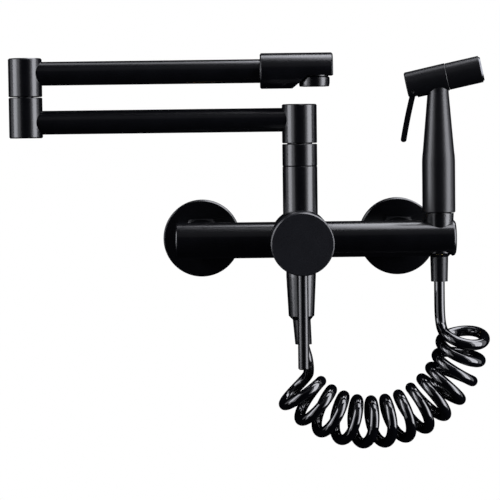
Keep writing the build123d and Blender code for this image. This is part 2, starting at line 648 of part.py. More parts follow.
with BuildPart() as diverter_valve:
    diverter_radius = SPIGOT_RADIUS + RUNNING - SEATED
    revolve(outline(upright(0),
                    (DIVERTER_BORE, DIVERTER_FLOOR),
                    (diverter_radius, DIVERTER_FLOOR),
                    (diverter_radius, DIVERTER_FLOOR + DIVERTER_HEIGHT),
                    (SPIGOT_BORE, DIVERTER_FLOOR + DIVERTER_HEIGHT),
                    (DIVERTER_BORE, DIVERTER_FLOOR + DIVERTER_HEIGHT / 2)), axis=upright_axis(0))
save(diverter_valve, "diverter_valve")

# Swivelling lower arm: spigot with its rings and clip, elbow, tube and knuckle
spigot_foot = BASE_TOP + NECK_HEIGHT - SPIGOT_DEPTH
ring_heights = (spigot_foot + FIRST_RING_LIFT, spigot_foot + SECOND_RING_LIFT)
groove_floor = SPIGOT_RADIUS - 2 * RING_SECTION - SEATED
clip_groove = SPIGOT_RADIUS - CLIP_HEIGHT / 2

with BuildPart() as column_spigot:
    revolve(outline(upright(0),
                    (SPIGOT_BORE, spigot_foot),
                    (SPIGOT_RADIUS, spigot_foot),
                    (SPIGOT_RADIUS, ELBOW_BASE + SPIGOT_ROOT),
                    (SPIGOT_BORE, ELBOW_BASE + SPIGOT_ROOT)), axis=upright_axis(0))
    for height in ring_heights:
        revolve(outline(upright(0),
                        (groove_floor, height - RING_SECTION - SEATED),
                        (SPIGOT_RADIUS, height - RING_SECTION - SEATED),
                        (SPIGOT_RADIUS, height + RING_SECTION + SEATED),
                        (groove_floor, height + RING_SECTION + SEATED)),
                axis=upright_axis(0), mode=Mode.SUBTRACT)
    revolve(outline(upright(0),
                    (clip_groove - SEATED, clip_base - SEATED),
                    (SPIGOT_RADIUS, clip_base - SEATED),
                    (SPIGOT_RADIUS, clip_top + SEATED),
                    (clip_groove - SEATED, clip_top + SEATED)), axis=upright_axis(0), mode=Mode.SUBTRACT)
save(column_spigot, "column_spigot")

with BuildPart() as spigot_rings:
    for height in ring_heights:
        with BuildSketch(upright(0)):
            with Locations((SPIGOT_RADIUS - RING_SECTION, height)):
                Circle(RING_SECTION)
        revolve(axis=upright_axis(0))
save(spigot_rings, "spigot_rings")

with BuildPart() as spigot_clip:
    revolve(outline(upright(0),
                    (clip_groove, clip_base),
                    (CLIP_RADIUS, clip_base),
                    (CLIP_RADIUS, clip_top),
                    (clip_groove, clip_top)), axis=upright_axis(0))
    with BuildSketch(Plane(origin=(0, BAR_Y - CLIP_RADIUS, clip_base))):
        Rectangle(CLIP_HEIGHT, CLIP_RADIUS)
    extrude(amount=CLIP_HEIGHT, mode=Mode.SUBTRACT)
save(spigot_clip, "spigot_clip")


def level_disc(x, z, radius, direction=1):
    """Round profile square to X, for tubes and bores along the arms."""
    return disc(Plane(origin=(x, BAR_Y, z), x_dir=(0, 1, 0), z_dir=(direction, 0, 0)), radius)


with BuildPart() as column_elbow:
    revolve(outline(upright(0),
                    (SPIGOT_RADIUS + SEATED, ELBOW_BASE),
                    (COLUMN_RADIUS - SEAM_BEVEL, ELBOW_BASE),
                    (COLUMN_RADIUS, ELBOW_BASE + SEAM_BEVEL),
                    (COLUMN_RADIUS, ELBOW_TOP - POST_EDGE),
                    (COLUMN_RADIUS - POST_EDGE, ELBOW_TOP),
                    (0, ELBOW_TOP),
                    (0, LOWER_ARM_Z + SPIGOT_BORE),
                    (SPIGOT_BORE, LOWER_ARM_Z + SPIGOT_BORE),
                    (SPIGOT_BORE, ELBOW_BASE + SPIGOT_ROOT),
                    (SPIGOT_RADIUS + SEATED, ELBOW_BASE + SPIGOT_ROOT)), axis=upright_axis(0))
    extrude(level_disc(-ARM_ROOT, LOWER_ARM_Z, ARM_RADIUS + SEATED, -1), amount=COLUMN_RADIUS,
            mode=Mode.SUBTRACT)
    extrude(level_disc(-ARM_ROOT, LOWER_ARM_Z, SPIGOT_BORE), amount=ARM_ROOT, mode=Mode.SUBTRACT)
save(column_elbow, "column_elbow")

with BuildPart() as lower_arm_tube:
    tube_left = KNUCKLE_X + ARM_ROOT
    extrude(level_disc(tube_left, LOWER_ARM_Z, ARM_RADIUS), amount=-ARM_ROOT - tube_left)
    extrude(level_disc(tube_left, LOWER_ARM_Z, ARM_RADIUS - ARM_WALL), amount=-ARM_ROOT - tube_left,
            mode=Mode.SUBTRACT)
save(lower_arm_tube, "lower_arm_tube")

knuckle_shoulder = LOWER_KNUCKLE_TOP - SPIGOT_SHOULDER
with BuildPart() as lower_knuckle:
    revolve(outline(upright(KNUCKLE_X),
                    (PLUG_RADIUS + SEATED, LOWER_KNUCKLE_BASE),
                    (KNUCKLE_RADIUS - POST_EDGE, LOWER_KNUCKLE_BASE),
                    (KNUCKLE_RADIUS, LOWER_KNUCKLE_BASE + POST_EDGE),
                    (KNUCKLE_RADIUS, LOWER_KNUCKLE_TOP - SEAM_BEVEL),
                    (KNUCKLE_RADIUS - SEAM_BEVEL, LOWER_KNUCKLE_TOP),
                    (KNUCKLE_SPIGOT_RADIUS + RUNNING, LOWER_KNUCKLE_TOP),
                    (KNUCKLE_SPIGOT_RADIUS + RUNNING, knuckle_shoulder),
                    (SPIGOT_HEAD_RADIUS + FREE, knuckle_shoulder),
                    (SPIGOT_HEAD_RADIUS + FREE, LOWER_KNUCKLE_BASE + PLUG_HEIGHT),
                    (PLUG_RADIUS + SEATED, LOWER_KNUCKLE_BASE + PLUG_HEIGHT)), axis=upright_axis(KNUCKLE_X))
    extrude(level_disc(KNUCKLE_X + ARM_ROOT, LOWER_ARM_Z, ARM_RADIUS + SEATED), amount=KNUCKLE_RADIUS,
            mode=Mode.SUBTRACT)
    extrude(level_disc(KNUCKLE_X, LOWER_ARM_Z, SPIGOT_BORE), amount=ARM_ROOT, mode=Mode.SUBTRACT)
save(lower_knuckle, "lower_knuckle")

with BuildPart() as knuckle_plug:
    revolve(outline(upright(KNUCKLE_X),
                    (0, LOWER_KNUCKLE_BASE),
                    (PLUG_RADIUS, LOWER_KNUCKLE_BASE),
                    (PLUG_RADIUS, LOWER_KNUCKLE_BASE + PLUG_HEIGHT),
                    (0, LOWER_KNUCKLE_BASE + PLUG_HEIGHT)), axis=upright_axis(KNUCKLE_X))
save(knuckle_plug, "knuckle_plug")

# Upper arm on its own spigot, with the spout head at its far end
spigot_top = UPPER_KNUCKLE_BASE + SPIGOT_ROOT
head_top = knuckle_shoulder - FREE
knuckle_ring_height = knuckle_shoulder + SPIGOT_SHOULDER / 2
knuckle_groove_floor = KNUCKLE_SPIGOT_RADIUS - 2 * KNUCKLE_RING_SECTION - SEATED

with BuildPart() as knuckle_spigot:
    revolve(outline(upright(KNUCKLE_X),
                    (KNUCKLE_SPIGOT_BORE, head_top - SPIGOT_HEAD_HEIGHT),
                    (SPIGOT_HEAD_RADIUS, head_top - SPIGOT_HEAD_HEIGHT),
                    (SPIGOT_HEAD_RADIUS, head_top),
                    (KNUCKLE_SPIGOT_RADIUS, head_top),
                    (KNUCKLE_SPIGOT_RADIUS, knuckle_ring_height - KNUCKLE_RING_SECTION - SEATED),
                    (knuckle_groove_floor, knuckle_ring_height - KNUCKLE_RING_SECTION - SEATED),
                    (knuckle_groove_floor, knuckle_ring_height + KNUCKLE_RING_SECTION + SEATED),
                    (KNUCKLE_SPIGOT_RADIUS, knuckle_ring_height + KNUCKLE_RING_SECTION + SEATED),
                    (KNUCKLE_SPIGOT_RADIUS, spigot_top),
                    (KNUCKLE_SPIGOT_BORE, spigot_top)), axis=upright_axis(KNUCKLE_X))
save(knuckle_spigot, "knuckle_spigot")

with BuildPart() as knuckle_ring:
    with BuildSketch(upright(KNUCKLE_X)):
        with Locations((KNUCKLE_SPIGOT_RADIUS - KNUCKLE_RING_SECTION, knuckle_ring_height)):
            Circle(KNUCKLE_RING_SECTION)
    revolve(axis=upright_axis(KNUCKLE_X))
save(knuckle_ring, "knuckle_ring")

with BuildPart() as upper_knuckle:
    revolve(outline(upright(KNUCKLE_X),
                    (KNUCKLE_SPIGOT_RADIUS + SEATED, UPPER_KNUCKLE_BASE),
                    (KNUCKLE_RADIUS - SEAM_BEVEL, UPPER_KNUCKLE_BASE),
                    (KNUCKLE_RADIUS, UPPER_KNUCKLE_BASE + SEAM_BEVEL),
                    (KNUCKLE_RADIUS, UPPER_KNUCKLE_TOP - POST_EDGE),
                    (KNUCKLE_RADIUS - POST_EDGE, UPPER_KNUCKLE_TOP),
                    (0, UPPER_KNUCKLE_TOP),
                    (0, UPPER_ARM_Z + SPIGOT_BORE),
                    (SPIGOT_BORE, UPPER_ARM_Z + SPIGOT_BORE),
                    (SPIGOT_BORE, spigot_top),
                    (KNUCKLE_SPIGOT_RADIUS + SEATED, spigot_top)), axis=upright_axis(KNUCKLE_X))
    extrude(level_disc(KNUCKLE_X + ARM_ROOT, UPPER_ARM_Z, ARM_RADIUS + SEATED), amount=KNUCKLE_RADIUS,
            mode=Mode.SUBTRACT)
    extrude(level_disc(KNUCKLE_X, UPPER_ARM_Z, SPIGOT_BORE), amount=ARM_ROOT, mode=Mode.SUBTRACT)
save(upper_knuckle, "upper_knuckle")

with BuildPart() as upper_arm_tube:
    tube_left = KNUCKLE_X + ARM_ROOT
    tube_length = SPOUT_LEFT + SPOUT_SOCKET - tube_left
    extrude(level_disc(tube_left, UPPER_ARM_Z, ARM_RADIUS), amount=tube_length)
    extrude(level_disc(tube_left, UPPER_ARM_Z, ARM_RADIUS - ARM_WALL), amount=tube_length, mode=Mode.SUBTRACT)
save(upper_arm_tube, "upper_arm_tube")

# Spout head: a thick round nose whose underside is cut away to a flat for the aerator
with BuildPart() as spout_head:
    revolve(outline(upright(0, UPPER_ARM_Z),
                    (SPOUT_LEFT, 0),
                    (SPOUT_LEFT, SPOUT_RADIUS - SPOUT_EDGE),
                    (SPOUT_LEFT + SPOUT_EDGE, SPOUT_RADIUS),
                    (SPOUT_RIGHT - SPOUT_EDGE, SPOUT_RADIUS),
                    (SPOUT_RIGHT, SPOUT_RADIUS - SPOUT_EDGE),
                    (SPOUT_RIGHT, 0)), axis=level_axis(UPPER_ARM_Z))
    notch_top = SPOUT_X - AERATOR_RADIUS - FREE
    notch_slope = SPOUT_NOTCH_LEAN / (SPOUT_RADIUS - SPOUT_FLAT_DROP)
    notch_floor = SPOUT_RADIUS + SPOUT_EDGE
    with BuildSketch(upright(0, UPPER_ARM_Z)):
        with BuildLine():
            Polyline((notch_top - notch_slope * (notch_floor - SPOUT_FLAT_DROP), -notch_floor),
                     (notch_top, -SPOUT_FLAT_DROP),
                     (SPOUT_RIGHT + SPOUT_EDGE, -SPOUT_FLAT_DROP),
                     (SPOUT_RIGHT + SPOUT_EDGE, -notch_floor), close=True)
        make_face()
    extrude(amount=SPOUT_RADIUS, both=True, mode=Mode.SUBTRACT)
    extrude(level_disc(SPOUT_LEFT, UPPER_ARM_Z, ARM_RADIUS + SEATED), amount=SPOUT_SOCKET, mode=Mode.SUBTRACT)
    extrude(level_disc(SPOUT_LEFT, UPPER_ARM_Z, SPOUT_BORE), amount=SPOUT_BACK, mode=Mode.SUBTRACT)
    extrude(disc(Plane(origin=(SPOUT_X, BAR_Y, SPOUT_FLAT)), AERATOR_THREAD_RADIUS + SEATED),
            amount=AERATOR_THREAD_LENGTH, mode=Mode.SUBTRACT)
save(spout_head, "spout_head")

aerator_foot = SPOUT_FLAT - AERATOR_SHOWING
with BuildPart() as aerator_housing:
    revolve(outline(upright(SPOUT_X),
                    (AERATOR_BORE, aerator_foot),
                    (AERATOR_RADIUS - SEAM_BEVEL, aerator_foot),
                    (AERATOR_RADIUS, aerator_foot + SEAM_BEVEL),
                    (AERATOR_RADIUS, SPOUT_FLAT),
                    (AERATOR_THREAD_RADIUS, SPOUT_FLAT),
                    (AERATOR_THREAD_RADIUS, SPOUT_FLAT + AERATOR_THREAD_LENGTH),
                    (AERATOR_BORE, SPOUT_FLAT + AERATOR_THREAD_LENGTH)), axis=upright_axis(SPOUT_X))
save(aerator_housing, "aerator_housing")

with BuildPart() as aerator_screen:
    screen_plane = Plane(origin=(SPOUT_X, BAR_Y, aerator_foot + SCREEN_THICKNESS))
    extrude(disc(screen_plane, AERATOR_BORE - SEATED), amount=SCREEN_THICKNESS)
    with BuildSketch(screen_plane):
        Circle(SCREEN_HOLE_RADIUS)
        with PolarLocations(SCREEN_INNER_CIRCLE, INNER_HOLE_COUNT):
            Circle(SCREEN_HOLE_RADIUS)
        with PolarLocations(SCREEN_OUTER_CIRCLE, OUTER_HOLE_COUNT):
            Circle(SCREEN_HOLE_RADIUS)
    extrude(amount=SCREEN_THICKNESS, mode=Mode.SUBTRACT)
save(aerator_screen, "aerator_screen")

# Outlet nipple under the housing
with BuildPart() as outlet_nipple:
    revolve(outline(upright(0),
                    (NIPPLE_BORE, OUTLET_BOSS_END + NIPPLE_ROOT_LENGTH),
                    (NIPPLE_ROOT_RADIUS, OUTLET_BOSS_END + NIPPLE_ROOT_LENGTH),
                    (NIPPLE_ROOT_RADIUS, OUTLET_BOSS_END),
                    (NIPPLE_RADIUS, OUTLET_BOSS_END),
                    (NIPPLE_RADIUS, OUTLET_BOSS_END - SPIGOT_REACH),
                    (NIPPLE_BORE, OUTLET_BOSS_END - SPIGOT_REACH)), axis=upright_axis(0))
save(outlet_nipple, "outlet_nipple")

# The same fitting closes both ends of the hose: cone nut, washer, tail and strain sleeve
for end, fitting_x, fitting_top in (("lower", 0.0, OUTLET_BOSS_END), ("upper", DOCK_X, DOCK_SEAT)):
    plane = upright(fitting_x, fitting_top)
    axis = upright_axis(fitting_x)
    nut_edge = HOSE_NUT_LENGTH - HOSE_NUT_CHAMFER

    with BuildPart() as hose_nut:
        revolve(outline(plane,
                        (HOSE_NUT_BORE, 0),
                        (HOSE_NUT_TOP_RADIUS, 0),
                        (hose_nut_radius(nut_edge), -nut_edge),
                        (HOSE_NUT_END_RADIUS - HOSE_NUT_CHAMFER, -HOSE_NUT_LENGTH),
                        (TAIL_RADIUS + FREE, -HOSE_NUT_LENGTH),
                        (TAIL_RADIUS + FREE, -TAIL_SEAT),
                        (HOSE_NUT_BORE, -TAIL_SEAT)), axis=axis)
    save(hose_nut, "hose_nut_" + end)

    with BuildPart() as hose_washer:
        revolve(outline(plane,
                        (TAIL_BORE, -SPIGOT_REACH),
                        (TAIL_FLANGE_RADIUS, -SPIGOT_REACH),
                        (TAIL_FLANGE_RADIUS, -SPIGOT_REACH - WASHER_THICKNESS),
                        (TAIL_BORE, -SPIGOT_REACH - WASHER_THICKNESS)), axis=axis)
    save(hose_washer, "hose_washer_" + end)

    with BuildPart() as hose_tail:
        flange_top = RUNNING + WASHER_THICKNESS + SPIGOT_REACH
        flange_foot = TAIL_SEAT - RUNNING
        tail_foot = SLEEVE_END - SLEEVE_FLOOR
        revolve(outline(plane,
                        (TAIL_BORE, -flange_top),
                        (TAIL_FLANGE_RADIUS, -flange_top),
                        (TAIL_FLANGE_RADIUS, -flange_foot),
                        (TAIL_RADIUS, -flange_foot),
                        (TAIL_RADIUS, -tail_foot),
                        (TAIL_BORE, -tail_foot)), axis=axis)
    save(hose_tail, "hose_tail_" + end)

    with BuildPart() as hose_sleeve:
        revolve(outline(plane,
                        (TAIL_RADIUS + SEATED, -SLEEVE_TOP),
                        (SLEEVE_HEAD_RADIUS, -SLEEVE_TOP),
                        (SLEEVE_TOP_RADIUS, -SLEEVE_TOP - SLEEVE_HEAD_HEIGHT),
                        (SLEEVE_END_RADIUS, -SLEEVE_END),
                        (TAIL_BORE, -SLEEVE_END),
                        (TAIL_BORE, -tail_foot),
                        (TAIL_RADIUS + SEATED, -tail_foot)), axis=axis)
    save(hose_sleeve, "hose_sleeve_" + end)

# Hand sprayer: the mid plane is turned a little towards the room
yaw = radians(SPRAYER_YAW)
tilt = radians(HEAD_TILT)
room_side = (-sin(yaw), -cos(yaw), 0)
sprayer_plane = Plane(origin=(DOCK_X, BAR_Y, DOCK_SEAT), x_dir=(cos(yaw), -sin(yaw), 0), z_dir=room_side)
head_direction = (cos(tilt) * cos(yaw), -cos(tilt) * sin(yaw), sin(tilt))
head_plane = Plane(origin=(DOCK_X, BAR_Y, HEAD_HEIGHT), x_dir=head_direction, z_dir=room_side)
head_axis = Axis((DOCK_X, BAR_Y, HEAD_HEIGHT), head_direction)

with BuildPart() as sprayer_handle:
    neck_height = HEAD_HEIGHT - HEAD_RADIUS - DOCK_SEAT
    with BuildSketch(sprayer_plane):
        with BuildLine():
            Polyline((GRIP_BORE, -SPIGOT_REACH),
                     (NIPPLE_RADIUS, -SPIGOT_REACH),
                     (NIPPLE_RADIUS, SEAM),
                     (GRIP_RADIUS - GRIP_EDGE, SEAM),
                     (GRIP_RADIUS, SEAM + GRIP_EDGE),
                     (GRIP_RADIUS, GRIP_SHOULDER))
            TangentArc((GRIP_RADIUS, GRIP_SHOULDER),
                       (GRIP_RADIUS - SEAM, GRIP_TAPER_START), tangent=(0, 1))
            Polyline((GRIP_RADIUS - SEAM, GRIP_TAPER_START),
                     (GRIP_NECK_RADIUS, neck_height),
                     (GRIP_NECK_RADIUS, neck_height + HEAD_RADIUS),
                     (GRIP_BORE, neck_height + HEAD_RADIUS),
                     (GRIP_BORE, -SPIGOT_REACH))
        make_face()
    revolve(axis=upright_axis(DOCK_X))
    revolve(outline(head_plane,
                    (-HEAD_REAR, 0),
                    (-HEAD_REAR, HEAD_REAR_RADIUS + RUNNING),
                    (HEAD_SEAM, HEAD_RADIUS + RUNNING),
                    (NOZZLE_FRONT, HEAD_RADIUS + RUNNING),
                    (NOZZLE_FRONT, 0)), axis=head_axis, mode=Mode.SUBTRACT)
save(sprayer_handle, "sprayer_handle")

trigger_room = TRIGGER_WIDTH / 2 + FREE
slot_back = HEAD_REAR + HEAD_EDGE
slot_front = TRIGGER_PIVOT_BACK - TRIGGER_EYE_RADIUS - FREE
pin_place = (-TRIGGER_PIVOT_BACK, -TRIGGER_PIVOT_DROP)
pin_length = 2 * sqrt(HEAD_REAR_RADIUS ** 2 - TRIGGER_PIVOT_DROP ** 2) - 2 * HEAD_EDGE

with BuildPart() as sprayer_head:
    revolve(outline(head_plane,
                    (-HEAD_REAR, 0),
                    (-HEAD_REAR, HEAD_REAR_RADIUS - HEAD_EDGE),
                    (HEAD_EDGE - HEAD_REAR, HEAD_REAR_RADIUS),
                    (HEAD_SEAM - NOZZLE_BEVEL, HEAD_RADIUS),
                    (HEAD_SEAM, HEAD_RADIUS - NOZZLE_BEVEL),
                    (HEAD_SEAM, HEAD_BORE),
                    (HEAD_REAR_WALL - HEAD_REAR, HEAD_BORE),
                    (HEAD_REAR_WALL - HEAD_REAR, 0)), axis=head_axis)
    extrude(disc(Plane(origin=(DOCK_X, BAR_Y, HEAD_HEIGHT)), HEAD_INLET_RADIUS), amount=-2 * HEAD_RADIUS,
            mode=Mode.SUBTRACT)
    extrude(outline(head_plane,
                    (-slot_back, -TRIGGER_PIVOT_DROP / 2),
                    (-slot_back, -HEAD_RADIUS - HEAD_EDGE),
                    (-slot_front, -HEAD_RADIUS - HEAD_EDGE),
                    (-slot_front, -TRIGGER_PIVOT_DROP / 2)),
            amount=trigger_room, both=True, mode=Mode.SUBTRACT)
    with BuildSketch(head_plane):
        with Locations(pin_place):
            Circle(TRIGGER_PIN_RADIUS + SEATED)
    extrude(amount=HEAD_RADIUS, both=True, mode=Mode.SUBTRACT)
save(sprayer_head, "sprayer_head")

with BuildPart() as trigger_pin:
    with BuildSketch(head_plane):
        with Locations(pin_place):
            Circle(TRIGGER_PIN_RADIUS)
    extrude(amount=pin_length / 2, both=True)
save(trigger_pin, "trigger_pin")

# Trigger: a thin bowed paddle on the pin, with a short fork that pulls the valve spindle
pivot_x = -TRIGGER_PIVOT_BACK * cos(tilt) + TRIGGER_PIVOT_DROP * sin(tilt)
pivot_z = -TRIGGER_PIVOT_BACK * sin(tilt) - TRIGGER_PIVOT_DROP * cos(tilt)
pivot_plane = Plane(origin=sprayer_plane.from_local_coords((pivot_x, HEAD_HEIGHT - DOCK_SEAT + pivot_z, 0)),
                    x_dir=(cos(yaw), -sin(yaw), 0), z_dir=room_side)
with BuildPart() as trigger:
    half = TRIGGER_THICKNESS / 2
    with BuildSketch(pivot_plane):
        with BuildLine():
            ThreePointArc((-half, 0),
                          (-TRIGGER_LEAN / 2 - TRIGGER_BOW - half, -TRIGGER_LENGTH / 2),
                          (-TRIGGER_LEAN - half, half - TRIGGER_LENGTH))
            ThreePointArc((-TRIGGER_LEAN - half, half - TRIGGER_LENGTH),
                          (-TRIGGER_LEAN, -TRIGGER_LENGTH),
                          (half - TRIGGER_LEAN, half - TRIGGER_LENGTH))
            ThreePointArc((half - TRIGGER_LEAN, half - TRIGGER_LENGTH),
                          (half - TRIGGER_LEAN / 2 - TRIGGER_BOW, -TRIGGER_LENGTH / 2),
                          (half, 0))
            Line((half, 0), (-half, 0))
        make_face()
        Circle(TRIGGER_EYE_RADIUS)
    extrude(amount=TRIGGER_WIDTH / 2, both=True)
    fork_x = TRIGGER_FORK_LEAN - TRIGGER_PIVOT_BACK
    fork_half = TRIGGER_FORK_THICKNESS / 2
    extrude(outline(head_plane,
                    (-TRIGGER_PIVOT_BACK - fork_half, -TRIGGER_PIVOT_DROP),
                    (fork_x - fork_half, TRIGGER_FORK_ABOVE),
                    (fork_x + fork_half, TRIGGER_FORK_ABOVE),
                    (fork_half - TRIGGER_PIVOT_BACK, -TRIGGER_PIVOT_DROP)),
            amount=TRIGGER_WIDTH / 2, both=True)
    with BuildSketch(pivot_plane):
        Circle(TRIGGER_PIN_RADIUS + RUNNING)
    extrude(amount=TRIGGER_WIDTH / 2, both=True, mode=Mode.SUBTRACT)
    head_back = Plane(origin=head_plane.from_local_coords((-HEAD_REAR, 0, 0)), z_dir=head_direction)
    extrude(disc(head_back, SPINDLE_RADIUS + TRIGGER_FORK_SLACK), amount=HEAD_REAR, mode=Mode.SUBTRACT)
save(trigger, "trigger")

fork_at_axis = -TRIGGER_PIVOT_BACK + TRIGGER_FORK_LEAN * TRIGGER_PIVOT_DROP / (
    TRIGGER_PIVOT_DROP + TRIGGER_FORK_ABOVE) - TRIGGER_FORK_THICKNESS / 2
collar_front = fork_at_axis - 2 * FREE - TRIGGER_FORK_SLACK
with BuildPart() as valve_spindle:
    revolve(outline(head_plane,
                    (collar_front - SPINDLE_HEAD_THICKNESS, 0),
                    (collar_front - SPINDLE_HEAD_THICKNESS, SPINDLE_HEAD_RADIUS),
                    (collar_front, SPINDLE_HEAD_RADIUS),
                    (collar_front, SPINDLE_RADIUS),
                    (-VALVE_CORE_FRONT, SPINDLE_RADIUS),
                    (-VALVE_CORE_FRONT, 0)), axis=head_axis)
save(valve_spindle, "valve_spindle")

with BuildPart() as valve_core:
    revolve(outline(head_plane,
                    (-VALVE_CORE_BACK, SPINDLE_RADIUS + RUNNING),
                    (-VALVE_CORE_BACK, HEAD_BORE - SEATED),
                    (-VALVE_CORE_FRONT, HEAD_BORE - SEATED),
                    (-VALVE_CORE_FRONT, SPINDLE_RADIUS + RUNNING)), axis=head_axis)
save(valve_core, "valve_core")

# Nozzle sleeve with its polished face ring and the perforated spray face
nozzle_back = HEAD_SEAM + NOZZLE_GAP
ring_outer = NOZZLE_RADIUS - NOZZLE_LIP
ring_inner = ring_outer - FACE_RING_WIDTH
ring_back = NOZZLE_FRONT - FACE_RING_DEPTH
sleeve_front = NOZZLE_FRONT - FACE_RING_PROUD
with BuildPart() as nozzle_sleeve:
    revolve(outline(head_plane,
                    (nozzle_back - NOZZLE_JOIN_LENGTH, NOZZLE_BORE),
                    (nozzle_back - NOZZLE_JOIN_LENGTH, HEAD_BORE - SEATED),
                    (nozzle_back, HEAD_BORE - SEATED),
                    (nozzle_back, NOZZLE_RADIUS - NOZZLE_BEVEL),
                    (nozzle_back + NOZZLE_BEVEL, NOZZLE_RADIUS),
                    (sleeve_front, NOZZLE_RADIUS),
                    (sleeve_front, ring_outer),
                    (ring_back, ring_outer),
                    (ring_back, ring_inner - SEAM_BEVEL),
                    (nozzle_back + SEAM_BEVEL, ring_inner - SEAM_BEVEL),
                    (nozzle_back + SEAM_BEVEL, NOZZLE_BORE)), axis=head_axis)
save(nozzle_sleeve, "nozzle_sleeve")

with BuildPart() as face_ring:
    revolve(outline(head_plane,
                    (ring_back, ring_inner),
                    (ring_back, ring_outer - SEATED),
                    (sleeve_front, ring_outer - SEATED),
                    (NOZZLE_FRONT, ring_inner + FACE_RING_WIDTH / 2),
                    (NOZZLE_FRONT - SEAM_BEVEL, ring_inner)), axis=head_axis)
save(face_ring, "face_ring")

with BuildPart() as spray_face:
    face_plane = Plane(origin=head_plane.from_local_coords((ring_back, 0, 0)), z_dir=head_direction)
    extrude(disc(face_plane, ring_inner - SEATED), amount=FACE_THICKNESS)
    with BuildSketch(face_plane):
        with PolarLocations(FACE_INNER_CIRCLE, INNER_HOLE_COUNT):
            Circle(FACE_HOLE_RADIUS)
        with PolarLocations(FACE_OUTER_CIRCLE, OUTER_HOLE_COUNT):
            Circle(FACE_HOLE_RADIUS)
    extrude(amount=FACE_THICKNESS, mode=Mode.SUBTRACT)
save(spray_face, "spray_face")


# Coiled hose: one tube along pairs of arcs that are tangent to each other and to the helix
def coil_point(share):
    """Point of the helix at a share of its length, from 0 at the outlet to 1 at the sprayer."""
    phase = radians(COIL_FIRST_PHASE + share * (COIL_LAST_PHASE - COIL_FIRST_PHASE))
    sag_radius = COIL_FIRST_SAG_RADIUS + share * (COIL_LAST_SAG_RADIUS - COIL_FIRST_SAG_RADIUS)
    swell = 4 * COIL_LEAN_SWELL * share * (1 - share)
    lean = COIL_FIRST_LEAN + share * (COIL_LAST_LEAN - COIL_FIRST_LEAN) + swell
    sag = radians(COIL_START_ANGLE + share * (COIL_END_ANGLE - COIL_START_ANGLE))
    sag += lean * sin(phase) / sag_radius
    reach = sag_radius + COIL_RADIUS * cos(phase)
    return Vector(COIL_CENTRE_X + reach * cos(sag),
                  BAR_Y - COIL_RADIUS * sin(phase),
                  COIL_CENTRE_Z + reach * sin(sag))


def coil_heading(share):
    step = 1e-5
    return (coil_point(share + step) - coil_point(share - step)).normalized()


def arc_pair(start, heading, end, end_heading):
    """Middle point and heading of two equal-handled tangent arcs between two directed points."""
    across = end - start
    both = heading + end_heading
    bend = 2 * (1 - heading.dot(end_heading))
    lean = across.dot(both)
    handle = (sqrt(lean * lean + bend * across.dot(across)) - lean) / bend
    first_handle = start + heading * handle
    last_handle = end - end_heading * handle
    return (first_handle + last_handle) * 0.5, (last_handle - first_handle).normalized()


down = Vector(0, 0, -1)
hose_start = Vector(0, BAR_Y, OUTLET_BOSS_END - SLEEVE_END)
hose_end = Vector(DOCK_X, BAR_Y, DOCK_SEAT - SLEEVE_END)
straight = down * HOSE_LEAD
stations = [(hose_start + straight, down)]
for i in range(COIL_HALF_TURNS + 1):
    stations.append((coil_point(i / COIL_HALF_TURNS), coil_heading(i / COIL_HALF_TURNS)))
stations.append((hose_end + straight, down * -1))

with BuildPart() as hose:
    with BuildLine() as hose_path:
        Line(hose_start, stations[0][0])
        for (start, heading), (end, end_heading) in zip(stations, stations[1:]):
            middle, middle_heading = arc_pair(start, heading, end, end_heading)
            TangentArc(start, middle, tangent=heading)
            TangentArc(middle, end, tangent=middle_heading)
        Line(stations[-1][0], hose_end)
    with BuildSketch(Plane(origin=hose_start, z_dir=down)):
        Circle(HOSE_RADIUS)
    sweep()
save(hose, "hose")

hose_wire = hose_path.wires()[0]
sample_count = 900
samples = hose_wire.positions([i / sample_count for i in range(sample_count + 1)])
apart = int(6 * HOSE_RADIUS / (hose_wire.length / sample_count))
least = min((samples[i] - samples[j]).length
            for i in range(len(samples)) for j in range(i + apart, len(samples)))
print("hose length", round(hose_wire.length, 1), "least gap to itself", round(least - 2 * HOSE_RADIUS, 2))
print("hose volume", round(hose.part.volume), "section times length",
      round(pi * HOSE_RADIUS ** 2 * hose_wire.length))
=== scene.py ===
# %% [markdown]
# # A black kitchen faucet on a wall
# The faucet has a valve bar on two wall unions, a column with a folding spout, a mixer knob
# with a rod lever, and a hand sprayer on a coiled hose. The solid model comes in as a fixed
# frame: every piece below is placed in that frame, in metres, and rides on one of its bodies.
# Most of the solids already have the right shape, so they stay and only get their finish.

# %% Load the frame
import json
import math

import bmesh
import bpy
from mathutils import Matrix, Vector


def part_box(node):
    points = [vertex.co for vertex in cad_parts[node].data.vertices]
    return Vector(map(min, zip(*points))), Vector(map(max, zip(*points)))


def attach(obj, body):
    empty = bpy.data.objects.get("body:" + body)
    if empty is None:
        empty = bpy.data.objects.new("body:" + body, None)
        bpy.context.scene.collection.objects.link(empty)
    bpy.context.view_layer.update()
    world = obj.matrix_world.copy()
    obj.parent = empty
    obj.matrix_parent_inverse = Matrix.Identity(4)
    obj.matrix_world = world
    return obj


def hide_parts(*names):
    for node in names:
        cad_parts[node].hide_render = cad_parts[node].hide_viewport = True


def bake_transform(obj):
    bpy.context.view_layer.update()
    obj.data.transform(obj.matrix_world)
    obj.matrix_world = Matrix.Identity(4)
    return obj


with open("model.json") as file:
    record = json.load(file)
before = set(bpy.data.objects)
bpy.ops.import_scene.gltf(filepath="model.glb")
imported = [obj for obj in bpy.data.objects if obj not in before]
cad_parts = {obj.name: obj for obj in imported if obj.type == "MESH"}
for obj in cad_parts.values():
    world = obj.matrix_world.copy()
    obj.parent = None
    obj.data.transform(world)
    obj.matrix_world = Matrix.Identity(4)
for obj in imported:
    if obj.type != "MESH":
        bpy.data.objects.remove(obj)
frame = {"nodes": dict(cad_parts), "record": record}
nodes = frame["nodes"]
scene = bpy.context.scene
